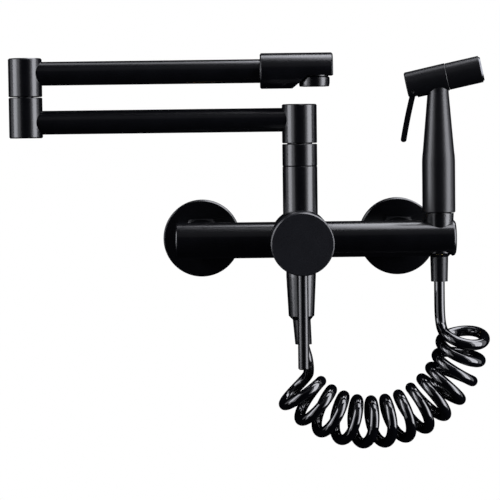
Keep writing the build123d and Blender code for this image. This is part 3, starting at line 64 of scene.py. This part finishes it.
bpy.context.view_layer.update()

# %% [markdown]
# The picture is taken from about a metre and a half, a little above the bar, with a long lens.
# A long lens keeps the two arms nearly parallel. The camera's turn is built from three
# rotations in a row, because yaw, pitch and roll are easier to read than a finished matrix.

# %% Camera
CAMERA_PLACE = (-0.0315, -1.4770, 0.0751)
CAMERA_PITCH = math.radians(3.295)
CAMERA_YAW = math.radians(0.261)
CAMERA_ROLL = math.radians(-0.719)

camera_data = bpy.data.cameras.new("photo_camera")
camera_data.sensor_fit = "HORIZONTAL"
camera_data.sensor_width = 36.0
camera_data.lens = 137.96
camera_data.clip_end = 50.0
camera = bpy.data.objects.new("photo_camera", camera_data)
scene.collection.objects.link(camera)
camera.matrix_world = (
    Matrix.Translation(CAMERA_PLACE)
    @ Matrix.Rotation(CAMERA_YAW, 4, "Z")
    @ Matrix.Rotation(math.pi / 2 - CAMERA_PITCH, 4, "X")
    @ Matrix.Rotation(CAMERA_ROLL, 4, "Z")
)
scene.camera = camera
print("lens", camera_data.lens, "mm")

# %% [markdown]
# The hose is one tube. Its line is a NURBS curve: it leaves the outlet with a slight bend, turns
# into a left-hand helix whose axis sags like a hammock, and rises straight to the sprayer.
# The turns lean, because the hose's own weight pulls them to one side. The helix comes from a
# formula, with many points for each turn. A quadratic curve runs a little inside its control
# points, so the control points lie a little further out.

# %% Line of the hose
HOSE_RADIUS = 0.004
BAR_Y = -0.045
SLEEVE_LEAN = 0.0013
OUTLET_END = Vector((SLEEVE_LEAN, BAR_Y, -0.0785))
SPRAYER_END = Vector((0.1035, BAR_Y, -0.0325))
COIL_CENTRE = Vector((0.0508, BAR_Y, -0.0684))
COIL_SAG_RADII = (0.0691, 0.0705)
COIL_ANGLES = (217.3, 360.4)
COIL_PHASES = (-107.0, 4486.0)
COIL_RADIUS = 0.0161
COIL_LEANS = (-0.0018, -0.0082)
COIL_LEAN_SWELL = 0.0088
POINTS_PER_TURN = 16
OUTLET_STEPS = ((0.0009, 0, -0.0040), (0.0028, 0.0004, -0.0100), (0.0037, 0.0024, -0.0165),
                (0.0039, 0.0066, -0.0217), (0.0033, 0.0114, -0.0249))
SPRAYER_STEPS = ((0.0009, 0.0014, -0.0320), (0.0002, 0.0016, -0.0230), (0, 0, -0.0100), (0, 0, 0))


def between(pair, share):
    return pair[0] + share * (pair[1] - pair[0])


def coil_point(share):
    phase = math.radians(between(COIL_PHASES, share))
    sag_radius = between(COIL_SAG_RADII, share)
    lean = between(COIL_LEANS, share) + 4 * COIL_LEAN_SWELL * share * (1 - share)
    sag = math.radians(between(COIL_ANGLES, share)) + lean * math.sin(phase) / sag_radius
    turn_radius = COIL_RADIUS / math.cos(math.pi / POINTS_PER_TURN)
    reach = sag_radius + turn_radius * math.cos(phase)
    depth = turn_radius * math.sin(phase)
    return COIL_CENTRE + Vector((reach * math.cos(sag), -depth, reach * math.sin(sag)))


coil_count = round((COIL_PHASES[1] - COIL_PHASES[0]) / 360 * POINTS_PER_TURN)
hose_route = [OUTLET_END] + [OUTLET_END + Vector(step) for step in OUTLET_STEPS]
hose_route += [coil_point(i / coil_count) for i in range(coil_count + 1)]
hose_route += [SPRAYER_END + Vector(step) for step in SPRAYER_STEPS]

hose_curve = bpy.data.curves.new("hose_line", "CURVE")
hose_curve.dimensions = "3D"
hose_curve.resolution_u = 5
hose_spline = hose_curve.splines.new("NURBS")
hose_spline.points.add(len(hose_route) - 1)
for spline_point, place in zip(hose_spline.points, hose_route):
    spline_point.co = (*place, 1.0)
hose_spline.order_u = 3
hose_spline.use_endpoint_u = True
hose_line = bpy.data.objects.new("hose_line", hose_curve)
scene.collection.objects.link(hose_line)
bpy.context.view_layer.update()
line_mesh = bpy.data.meshes.new_from_object(hose_line)
hose_path = [vertex.co.copy() for vertex in line_mesh.vertices]
bpy.data.objects.remove(hose_line)
hose_length = sum((b - a).length for a, b in zip(hose_path, hose_path[1:]))
print("hose line", len(hose_path), "points,", round(hose_length, 4), "m")

# %% [markdown]
# Every piece that the scene adds is a skin over a chain of rings. One helper makes the skin. It
# joins each ring to the next with four-sided faces, and either closes the two ends or joins the
# last ring to the first, as on a ring-shaped piece. The smooth shading stops at sharp edges, so
# that a step stays crisp and a round stays round. A second helper gives a level ring, for
# pieces that are turned round an upright axis.

# %% Skin over rings
LEVEL_SIDES = 72


def skin_over_rings(name, rings, joined, sharp=50):
    builder = bmesh.new()
    corners = [[builder.verts.new(place) for place in ring] for ring in rings]
    pairs = list(zip(corners, corners[1:]))
    if joined:
        pairs.append((corners[-1], corners[0]))
    else:
        builder.faces.new(reversed(corners[0]))
        builder.faces.new(corners[-1])
    for ring, following in pairs:
        for k in range(len(ring)):
            after = (k + 1) % len(ring)
            builder.faces.new((ring[k], ring[after], following[after], following[k]))
    bmesh.ops.recalc_face_normals(builder, faces=builder.faces)
    mesh = bpy.data.meshes.new(name)
    builder.to_mesh(mesh)
    builder.free()
    mesh.shade_smooth()
    mesh.set_sharp_from_angle(angle=math.radians(sharp))
    skin = bpy.data.objects.new(name, mesh)
    scene.collection.objects.link(skin)
    return skin


def level_ring(x, radius, z):
    angles = [2 * math.pi * k / LEVEL_SIDES for k in range(LEVEL_SIDES)]
    return [Vector((x + radius * math.cos(a), BAR_Y + radius * math.sin(a), z)) for a in angles]


print("skin helper ready")

# %% [markdown]
# The hose pulls the soft sleeve under the outlet to one side. Only the sleeve's outer rings
# lean: its bore stays where it is, round the stiff tail of the hose.

# %% Leaning sleeve
SLEEVE_HEAD_RADIUS = 0.0086
SLEEVE_HEAD_HEIGHT = 0.0020
SLEEVE_NECK_RADIUS = 0.0067
SLEEVE_FOOT_RADIUS = 0.00625
SLEEVE_FLOOR = 0.0030
TAIL_SOCKET_RADIUS = 0.00493
WATER_WAY_RADIUS = 0.0026

sleeve_low, sleeve_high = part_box("hose_sleeve_lower")
sleeve_foot, sleeve_top = sleeve_low[2], sleeve_high[2]
socket_floor = sleeve_foot + SLEEVE_FLOOR
neck_lean = SLEEVE_LEAN * SLEEVE_HEAD_HEIGHT / (sleeve_top - sleeve_foot)
sleeve = skin_over_rings("leaning_sleeve", [
    level_ring(0, SLEEVE_HEAD_RADIUS, sleeve_top),
    level_ring(neck_lean, SLEEVE_NECK_RADIUS, sleeve_top - SLEEVE_HEAD_HEIGHT),
    level_ring(SLEEVE_LEAN, SLEEVE_FOOT_RADIUS, sleeve_foot),
    level_ring(SLEEVE_LEAN, WATER_WAY_RADIUS, sleeve_foot),
    level_ring(0, WATER_WAY_RADIUS, socket_floor),
    level_ring(0, TAIL_SOCKET_RADIUS, socket_floor),
    level_ring(0, TAIL_SOCKET_RADIUS, sleeve_top),
], joined=True, sharp=25)
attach(sleeve, "mixer")
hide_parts("hose_sleeve_lower")
print("sleeve leans", round(1000 * SLEEVE_LEAN, 1), "mm")

# %% [markdown]
# The hose's rings follow the line. Each ring is turned only as far as the line bends, so the
# tube doesn't twist.

# %% Tube of the hose
TUBE_SIDES = 24


def rings_along(path, radius, sides):
    heading = (path[1] - path[0]).normalized()
    side = heading.orthogonal().normalized()
    rings = []
    for i, place in enumerate(path):
        new_heading = (path[min(i + 1, len(path) - 1)] - path[max(i - 1, 0)]).normalized()
        side = (heading.rotation_difference(new_heading) @ side).normalized()
        heading = new_heading
        up = heading.cross(side)
        angles = [2 * math.pi * k / sides for k in range(sides)]
        rings.append([place + radius * (math.cos(a) * side + math.sin(a) * up) for a in angles])
    return rings


hose = skin_over_rings("coiled_hose", rings_along(hose_path, HOSE_RADIUS, TUBE_SIDES), joined=False)
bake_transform(hose)
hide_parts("hose")
print("hose tube", len(hose.data.polygons), "faces")

# %% [markdown]
# Each wall union is a turned brass piece with a pipe thread at both ends. A thread could be cut
# with a boolean, but a ring skin is lighter and cleaner: the radius of each corner dips with
# its angle and its place along the axis, so the dips join up into one long helix. The thread
# runs out over one pitch at each end, as a cut thread does. It all stays inside the solid.

# %% Threaded wall unions
INLET_X = 0.075
THREAD_PITCH = 0.001814
THREAD_DEPTH = 0.00110
RINGS_PER_PITCH = 10
UNION_SIDES = 56
UNION_BORE = 0.0075
UNION_FRONT_END = -0.013
SHOULDER_FRONT = -0.006
WALL_PLANE = 0.0
UNION_WALL_END = 0.018
UNION_STRETCHES = (  # from, to, outer radius, depth of thread
    (UNION_FRONT_END, SHOULDER_FRONT, 0.01322, THREAD_DEPTH),
    (SHOULDER_FRONT, WALL_PLANE, 0.0120, 0.0),
    (WALL_PLANE, UNION_WALL_END, 0.01048, THREAD_DEPTH),
)


def union_ring(axis_x, y, crest, depth=0.0):
    ring = []
    for k in range(UNION_SIDES):
        turn = k / UNION_SIDES
        dip = 0.5 - 0.5 * math.cos(2 * math.pi * (y / THREAD_PITCH - turn))
        radius = crest - depth * dip
        angle = 2 * math.pi * turn
        ring.append(Vector((axis_x + radius * math.cos(angle), y, radius * math.sin(angle))))
    return ring


def threaded_union(name, axis_x):
    rings = []
    for start, end, crest, depth in UNION_STRETCHES:
        count = round((end - start) / THREAD_PITCH * RINGS_PER_PITCH) if depth else 1
        for i in range(count + 1):
            y = start + (end - start) * i / count
            run_out = max(0.0, min(1.0, (y - start) / THREAD_PITCH, (end - y) / THREAD_PITCH))
            rings.append(union_ring(axis_x, y, crest, depth * run_out))
    rings.append(union_ring(axis_x, UNION_WALL_END, UNION_BORE))
    rings.append(union_ring(axis_x, UNION_FRONT_END, UNION_BORE))
    return skin_over_rings(name, rings, joined=True)


unions = {"wall_union_hot": threaded_union("threaded_union_hot", -INLET_X),
          "wall_union_cold": threaded_union("threaded_union_cold", INLET_X)}
for node, union in unions.items():
    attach(union, "mixer")
    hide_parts(node)
print("threads", round((UNION_WALL_END - WALL_PLANE) / THREAD_PITCH, 1), "turns in the wall")

# %% [markdown]
# Under the spout's head the notch for the aerator opens at a slant, so two cheeks of the head
# reach forward on both sides of the aerator's ring. They are one skin of slices across the
# head: each slice starts at the notch, ends at the slant or at the hole round the ring, and
# its foot lies on the head's own round. So the cheeks run on from the head without a step.

# %% Cheeks of the spout head
FLAT_DROP = 0.0037
NOTCH_LEAN = 0.0046
CHEEK_REACH = 0.0069
RING_CLEARANCE = 0.0003
CHEEK_SLICES = 40
CHEEK_SPREAD = 0.99

head_low, head_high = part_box("spout_head")
ring_low, ring_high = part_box("aerator_housing")
head_radius = (head_high[2] - head_low[2]) / 2
head_axis_z = (head_high[2] + head_low[2]) / 2
ring_axis_x = (ring_high[0] + ring_low[0]) / 2
hole_radius = (ring_high[0] - ring_low[0]) / 2 + RING_CLEARANCE
notch_x = ring_axis_x - hole_radius
notch_depth = head_radius - FLAT_DROP
slant = (CHEEK_REACH + NOTCH_LEAN) / notch_depth


def cheek_slice(angle):
    side = head_radius * math.sin(angle)
    depth = head_radius * math.cos(angle) - FLAT_DROP
    hole_x = ring_axis_x - math.sqrt(max(0.0, hole_radius ** 2 - side ** 2))
    front_x = min(hole_x, notch_x + CHEEK_REACH)
    bend = min(depth, (notch_x + CHEEK_REACH - front_x) / slant)
    foot_x = min(front_x, notch_x + CHEEK_REACH - slant * depth)
    outline = ((notch_x - NOTCH_LEAN * depth / notch_depth, depth), (notch_x, 0.0), (front_x, 0.0),
               (front_x, bend), (foot_x, depth))
    return [Vector((x, BAR_Y + side, head_axis_z - FLAT_DROP - down)) for x, down in outline]


widest = CHEEK_SPREAD * math.acos(FLAT_DROP / head_radius)
cheek_slices = [cheek_slice(widest * (2 * i / CHEEK_SLICES - 1)) for i in range(CHEEK_SLICES + 1)]
cheeks = skin_over_rings("spout_cheeks", cheek_slices, joined=False)
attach(cheeks, "upper_arm")
print("cheeks reach", round(1000 * CHEEK_REACH, 1), "mm past the notch")

# %% [markdown]
# The aerator's ring is turned: a neck under the head, a bevel, the wide grip and a foot that
# tapers a little. The steps are small, but each of them catches a line of light. The profile
# is a list of radii and heights, and each of its points makes one ring of the skin.

# %% Turned ring of the aerator
RING_BORE = 0.0082
RING_THREAD = 0.0095
NECK_INSET = 0.0010
NECK_HEIGHT = 0.0008
GRIP_DROP = 0.0018
FOOT_INSET = 0.0004
FOOT_HEIGHT = 0.0027
FOOT_BEVEL = 0.0003
ring_radius = hole_radius - RING_CLEARANCE
foot_radius = ring_radius - FOOT_INSET
neck_radius = ring_radius - NECK_INSET
flat_z = head_axis_z - FLAT_DROP
foot_z = ring_low[2]
thread_z = ring_high[2]
ring_profile = (
    (RING_BORE, foot_z), (foot_radius - FOOT_BEVEL, foot_z), (foot_radius, foot_z + FOOT_BEVEL),
    (ring_radius, foot_z + FOOT_HEIGHT), (ring_radius, flat_z - GRIP_DROP),
    (neck_radius, flat_z - NECK_HEIGHT), (neck_radius, flat_z),
    (RING_THREAD, flat_z), (RING_THREAD, thread_z), (RING_BORE, thread_z),
)
aerator_rings = [level_ring(ring_axis_x, radius, z) for radius, z in ring_profile]
aerator_ring = skin_over_rings("turned_aerator_ring", aerator_rings, joined=True, sharp=25)
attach(aerator_ring, "upper_arm")
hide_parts("aerator_housing")
print("aerator ring", round(2000 * ring_radius, 1), "mm across")

# %% [markdown]
# The room is white for the eye. The Light Path node tells which rays come straight from the
# camera, from a mirror or through glass, and only those see the plain white. The floor is a pale
# board well under the faucet. It is mostly white to the eye too, but keeps part of its own
# shading, so that the faucet's shadow still falls on it. Towards its rim it fades to full
# white, so that no edge of the board shows.

# %% Room
def seen_by_the_eye(tree):
    path = tree.nodes.new("ShaderNodeLightPath")
    direct = tree.nodes.new("ShaderNodeMath")
    direct.operation = "MAXIMUM"
    through = tree.nodes.new("ShaderNodeMath")
    through.operation = "MAXIMUM"
    tree.links.new(path.outputs["Is Camera Ray"], direct.inputs[0])
    tree.links.new(path.outputs["Is Glossy Ray"], direct.inputs[1])
    tree.links.new(direct.outputs[0], through.inputs[0])
    tree.links.new(path.outputs["Is Transmission Ray"], through.inputs[1])
    return through.outputs[0]


world = bpy.data.worlds.new("studio")
scene.world = world
world.use_nodes = True
world_tree = world.node_tree
world_back = world_tree.nodes["Background"]
world_back.inputs["Color"].default_value = (0.62, 0.63, 0.66, 1.0)
world_back.inputs["Strength"].default_value = 0.5
world_white = world_tree.nodes.new("ShaderNodeBackground")
world_white.inputs["Color"].default_value = (1.0, 1.0, 1.0, 1.0)
world_mix = world_tree.nodes.new("ShaderNodeMixShader")
world_tree.links.new(seen_by_the_eye(world_tree), world_mix.inputs[0])
world_tree.links.new(world_back.outputs[0], world_mix.inputs[1])
world_tree.links.new(world_white.outputs[0], world_mix.inputs[2])
world_tree.links.new(world_mix.outputs[0], world_tree.nodes["World Output"].inputs["Surface"])


def flat_panel(name, size, place, turn, paint):
    mesh = bpy.data.meshes.new(name)
    h = size / 2
    mesh.from_pydata([(-h, -h, 0), (h, -h, 0), (h, h, 0), (-h, h, 0)], [], [(0, 1, 2, 3)])
    mesh.materials.append(paint)
    panel = bpy.data.objects.new(name, mesh)
    panel.location = place
    panel.rotation_euler = turn
    scene.collection.objects.link(panel)
    return panel


FLOOR_Z = -0.75
FLOOR_SIZE = 2.4
FLOOR_WHITE = 0.7
FADE_START = 0.4
floor_paint = bpy.data.materials.new("pale_floor")
floor_paint.use_nodes = True
floor_tree = floor_paint.node_tree
floor_shader = floor_tree.nodes["Principled BSDF"]
floor_shader.inputs["Base Color"].default_value = (0.85, 0.85, 0.85, 1.0)
floor_shader.inputs["Roughness"].default_value = 0.9
floor_white = floor_tree.nodes.new("ShaderNodeEmission")
floor_place = floor_tree.nodes.new("ShaderNodeTexCoord")
floor_reach = floor_tree.nodes.new("ShaderNodeVectorMath")
floor_reach.operation = "LENGTH"
floor_tree.links.new(floor_place.outputs["Object"], floor_reach.inputs[0])
floor_fade = floor_tree.nodes.new("ShaderNodeMapRange")
floor_fade.inputs["From Min"].default_value = FADE_START * FLOOR_SIZE / 2
floor_fade.inputs["From Max"].default_value = FLOOR_SIZE / 2
floor_fade.inputs["To Min"].default_value = FLOOR_WHITE
floor_tree.links.new(floor_reach.outputs["Value"], floor_fade.inputs["Value"])
floor_share = floor_tree.nodes.new("ShaderNodeMath")
floor_share.operation = "MULTIPLY"
floor_tree.links.new(floor_fade.outputs["Result"], floor_share.inputs[1])
floor_mix = floor_tree.nodes.new("ShaderNodeMixShader")
floor_tree.links.new(seen_by_the_eye(floor_tree), floor_share.inputs[0])
floor_tree.links.new(floor_share.outputs[0], floor_mix.inputs[0])
floor_tree.links.new(floor_shader.outputs[0], floor_mix.inputs[1])
floor_tree.links.new(floor_white.outputs[0], floor_mix.inputs[2])
floor_tree.links.new(floor_mix.outputs[0], floor_tree.nodes["Material Output"].inputs["Surface"])
flat_panel("floor", FLOOR_SIZE, (0, 0, FLOOR_Z), (0, 0, 0), floor_paint)
print("floor", FLOOR_Z, "m")

# %% [markdown]
# A black coat shows little of its own colour: what draws it is what it mirrors. In a bright
# room every edge would turn grey. Photographers stand black cloth round such a product, just
# outside the picture, and so do these flags. They close the room for reflections only: the
# camera looks through them, and they cast no shadow.

# %% Black flags
velvet = bpy.data.materials.new("black_cloth")
velvet.use_nodes = True
velvet_shader = velvet.node_tree.nodes["Principled BSDF"]
velvet_shader.inputs["Base Color"].default_value = (0.004, 0.004, 0.005, 1.0)
velvet_shader.inputs["Roughness"].default_value = 1.0
velvet_shader.inputs["Specular IOR Level"].default_value = 0.0
QUARTER = math.pi / 2
FLAG_REACH = 3.0
FLAG_OVER_FLOOR = 0.05
for name, place, turn in (
    ("flag_front", (0, -FLAG_REACH, 0), (QUARTER, 0, 0)),
    ("flag_back", (0, FLAG_REACH, 0), (QUARTER, 0, 0)),
    ("flag_left", (-FLAG_REACH, 0, 0), (0, QUARTER, 0)),
    ("flag_right", (FLAG_REACH, 0, 0), (0, QUARTER, 0)),
    ("flag_top", (0, 0, FLAG_REACH), (0, 0, 0)),
    ("flag_low", (0, 0, FLOOR_Z + FLAG_OVER_FLOOR), (0, 0, 0)),
):
    flag = flat_panel(name, 2 * FLAG_REACH, place, turn, velvet)
    flag.visible_camera = False
    flag.visible_shadow = False

# %% [markdown]
# Tall soft boxes at the sides give each upright cylinder a band on either side, and a wide one
# overhead gives the level ones a line along the top. Each side has a main box and two weak
# ones, before and behind it, because a band with soft edges looks like satin metal, while a
# single box leaves a hard stripe. A small low box at the left reaches the pieces under the bar,
# and a narrow one overhead carries the top line on to the far ends of the arms. A weak card
# over the camera opens the fronts a little.

# %% Soft boxes
LAMP_AIM = Vector((0.03, BAR_Y, 0.02))
LAMP_COLOUR = (0.92, 0.93, 1.0)


def soft_box(name, place, width, height, power):
    lamp = bpy.data.lights.new(name, "AREA")
    lamp.shape = "RECTANGLE"
    lamp.size, lamp.size_y = width, height
    lamp.energy = power
    lamp.color = LAMP_COLOUR
    box = bpy.data.objects.new(name, lamp)
    box.location = place
    box.rotation_euler = (LAMP_AIM - Vector(place)).to_track_quat("-Z", "Y").to_euler()
    box.visible_camera = False
    scene.collection.objects.link(box)


soft_box("box_left", (-1.35, -0.50, 0.45), 0.70, 1.5, 26)
soft_box("box_left_before", (-1.15, -1.05, 0.25), 0.60, 1.9, 7)
soft_box("box_left_behind", (-1.40, 0.15, 0.45), 0.50, 1.5, 2.4)
soft_box("box_left_low", (-1.20, -0.42, -0.47), 0.30, 0.45, 1.2)
soft_box("box_right", (1.35, -0.55, 0.25), 0.85, 1.9, 47)
soft_box("box_right_before", (1.15, -1.10, 0.25), 0.50, 1.9, 5)
soft_box("box_right_behind", (1.40, 0.15, 0.25), 0.50, 1.9, 4.5)
soft_box("box_over", (0.56, 0.06, 1.35), 1.3, 1.15, 38)
soft_box("box_over_left", (-0.27, 0.22, 1.35), 0.36, 0.85, 2.3)
soft_box("card_over_camera", (0, -1.6, 1.5), 2.4, 1.2, 1.1)
scene.view_settings.view_transform = "Standard"

# %% [markdown]
# A finish is a Principled shader with three things that vary over the surface: a colour that
# drifts between two tones, a roughness that changes with a fine grain, and a relief from the
# same grain. A coat of paint, a moulded plastic and turned brass differ in these numbers only,
# so one helper makes them all.

# %% Finish helper
CLOUD_SCALE = 70.0


def finish(name, dark, light, rough, grain, metallic=0.0, shine=0.5, relief_height=0.000005):
    paint = bpy.data.materials.new(name)
    paint.use_nodes = True
    tree = paint.node_tree
    shader = tree.nodes["Principled BSDF"]
    shader.inputs["Metallic"].default_value = metallic
    shader.inputs["Specular IOR Level"].default_value = shine
    place = tree.nodes.new("ShaderNodeTexCoord")
    cloud = tree.nodes.new("ShaderNodeTexNoise")
    cloud.inputs["Scale"].default_value = CLOUD_SCALE
    cloud.inputs["Detail"].default_value = 4.0
    tree.links.new(place.outputs["Object"], cloud.inputs["Vector"])
    tones = tree.nodes.new("ShaderNodeValToRGB")
    for stop, position, tone in zip(tones.color_ramp.elements, (0.35, 0.65), (dark, light)):
        stop.position = position
        stop.color = (*tone, 1.0)
    tree.links.new(cloud.outputs["Fac"], tones.inputs["Fac"])
    tree.links.new(tones.outputs["Color"], shader.inputs["Base Color"])
    speck = tree.nodes.new("ShaderNodeTexNoise")
    speck.inputs["Scale"].default_value = grain
    speck.inputs["Detail"].default_value = 2.0
    tree.links.new(place.outputs["Object"], speck.inputs["Vector"])
    gloss = tree.nodes.new("ShaderNodeMapRange")
    gloss.inputs["To Min"].default_value, gloss.inputs["To Max"].default_value = rough
    tree.links.new(speck.outputs["Fac"], gloss.inputs["Value"])
    tree.links.new(gloss.outputs["Result"], shader.inputs["Roughness"])
    relief = tree.nodes.new("ShaderNodeBump")
    relief.inputs["Strength"].default_value = 1.0
    relief.inputs["Distance"].default_value = relief_height
    tree.links.new(speck.outputs["Fac"], relief.inputs["Height"])
    tree.links.new(relief.outputs["Normal"], shader.inputs["Normal"])
    return paint


def put_on(piece, paint):
    piece.data.materials.clear()
    piece.data.materials.append(paint)


print("finish helper ready")

# %% [markdown]
# What one sees is all black, but not the same black. The castings have a fine satin coat, the
# hose is a smooth glossy plastic, and the sleeves at its ends lie between the two. All lean a
# little to blue. The inner pieces show only from behind or through small gaps, and get their
# plain workshop finishes.

# %% Finishes by slot
finishes = {
    "black_metal": finish("satin_black_coat", (0.0009, 0.0010, 0.0015), (0.0015, 0.0016, 0.0023),
                          (0.19, 0.27), 2600),
    "hose_plastic": finish("glossy_black_hose", (0.0010, 0.0011, 0.0016), (0.0016, 0.0017, 0.0024),
                           (0.05, 0.10), 300, shine=0.7, relief_height=0.000002),
    "sleeve_plastic": finish("satin_sleeve", (0.0014, 0.0015, 0.0021), (0.0022, 0.0023, 0.0030),
                             (0.24, 0.34), 1500, shine=0.28),
    "brass": finish("turned_brass", (0.62, 0.42, 0.17), (0.70, 0.50, 0.22),
                    (0.22, 0.36), 1800, metallic=1.0),
    "steel": finish("ground_steel", (0.50, 0.50, 0.51), (0.60, 0.60, 0.61),
                    (0.22, 0.34), 2200, metallic=1.0),
    "seal_rubber": finish("seal_rubber", (0.012, 0.012, 0.012), (0.018, 0.018, 0.018),
                          (0.55, 0.70), 1200),
    "valve_plastic": finish("valve_plastic", (0.62, 0.62, 0.58), (0.68, 0.68, 0.64),
                            (0.38, 0.50), 1000),
    "ceramic": finish("lapped_ceramic", (0.78, 0.77, 0.73), (0.83, 0.82, 0.79),
                      (0.10, 0.18), 1500),
    "polished_ring": finish("polished_ring", (0.050, 0.051, 0.054), (0.062, 0.063, 0.066),
                            (0.22, 0.30), 900, metallic=1.0),
    "face_plastic": finish("spray_face", (0.010, 0.010, 0.011), (0.014, 0.014, 0.015),
                           (0.35, 0.48), 1600),
}
for row in frame["record"]["subparts"]:
    put_on(nodes[row["node"]], finishes[row["material_slot"]])
put_on(hose, finishes["hose_plastic"])
put_on(sleeve, finishes["sleeve_plastic"])
for piece in (cheeks, aerator_ring):
    put_on(piece, finishes["black_metal"])
for union in unions.values():
    put_on(union, finishes["brass"])
print("finishes", len(finishes))

# %% [markdown]
# Some pieces get a coat of their own, and some of it is painted light. The knob is given a
# lighter, more even grey than the castings round it: a painted sheen for the reflection that
# its flat face catches from the front. The sprayer is duller, a painted shade that dims the
# bands the side lamps leave on it. The spigots in the swivel joints are painted near black, a
# painted shade for the gaps between the parts, so that the seams read as dark lines.

# %% Coats of single pieces
# Painted sheen: a lighter grey stands for the even reflection on the knob's flat face.
knob_painted_sheen = finish("knob_painted_sheen", (0.0056, 0.0059, 0.0074), (0.0072, 0.0075, 0.0092),
                   (0.24, 0.32), 2600)
# Painted shade: the sprayer's lower shine dims the bands that the side lamps leave on it.
sprayer_painted_shade = finish("sprayer_painted_shade", (0.0014, 0.0015, 0.0021), (0.0022, 0.0023, 0.0031),
                      (0.27, 0.34), 2200, shine=0.36)
# Painted shade: the spigots are near black, so the seam gaps between the parts read dark.
spigot_painted_shade = finish("seam_painted_shade", (0.0030, 0.0030, 0.0034), (0.0050, 0.0050, 0.0054),
                   (0.40, 0.52), 1800)
for paint, names in (
    (knob_painted_sheen, ("knob",)),
    (sprayer_painted_shade, ("sprayer_handle", "sprayer_head", "nozzle_sleeve")),
    (spigot_painted_shade, ("column_spigot", "knuckle_spigot")),
):
    for name in names:
        put_on(nodes[name], paint)
    print(paint.name, len(names), "pieces")
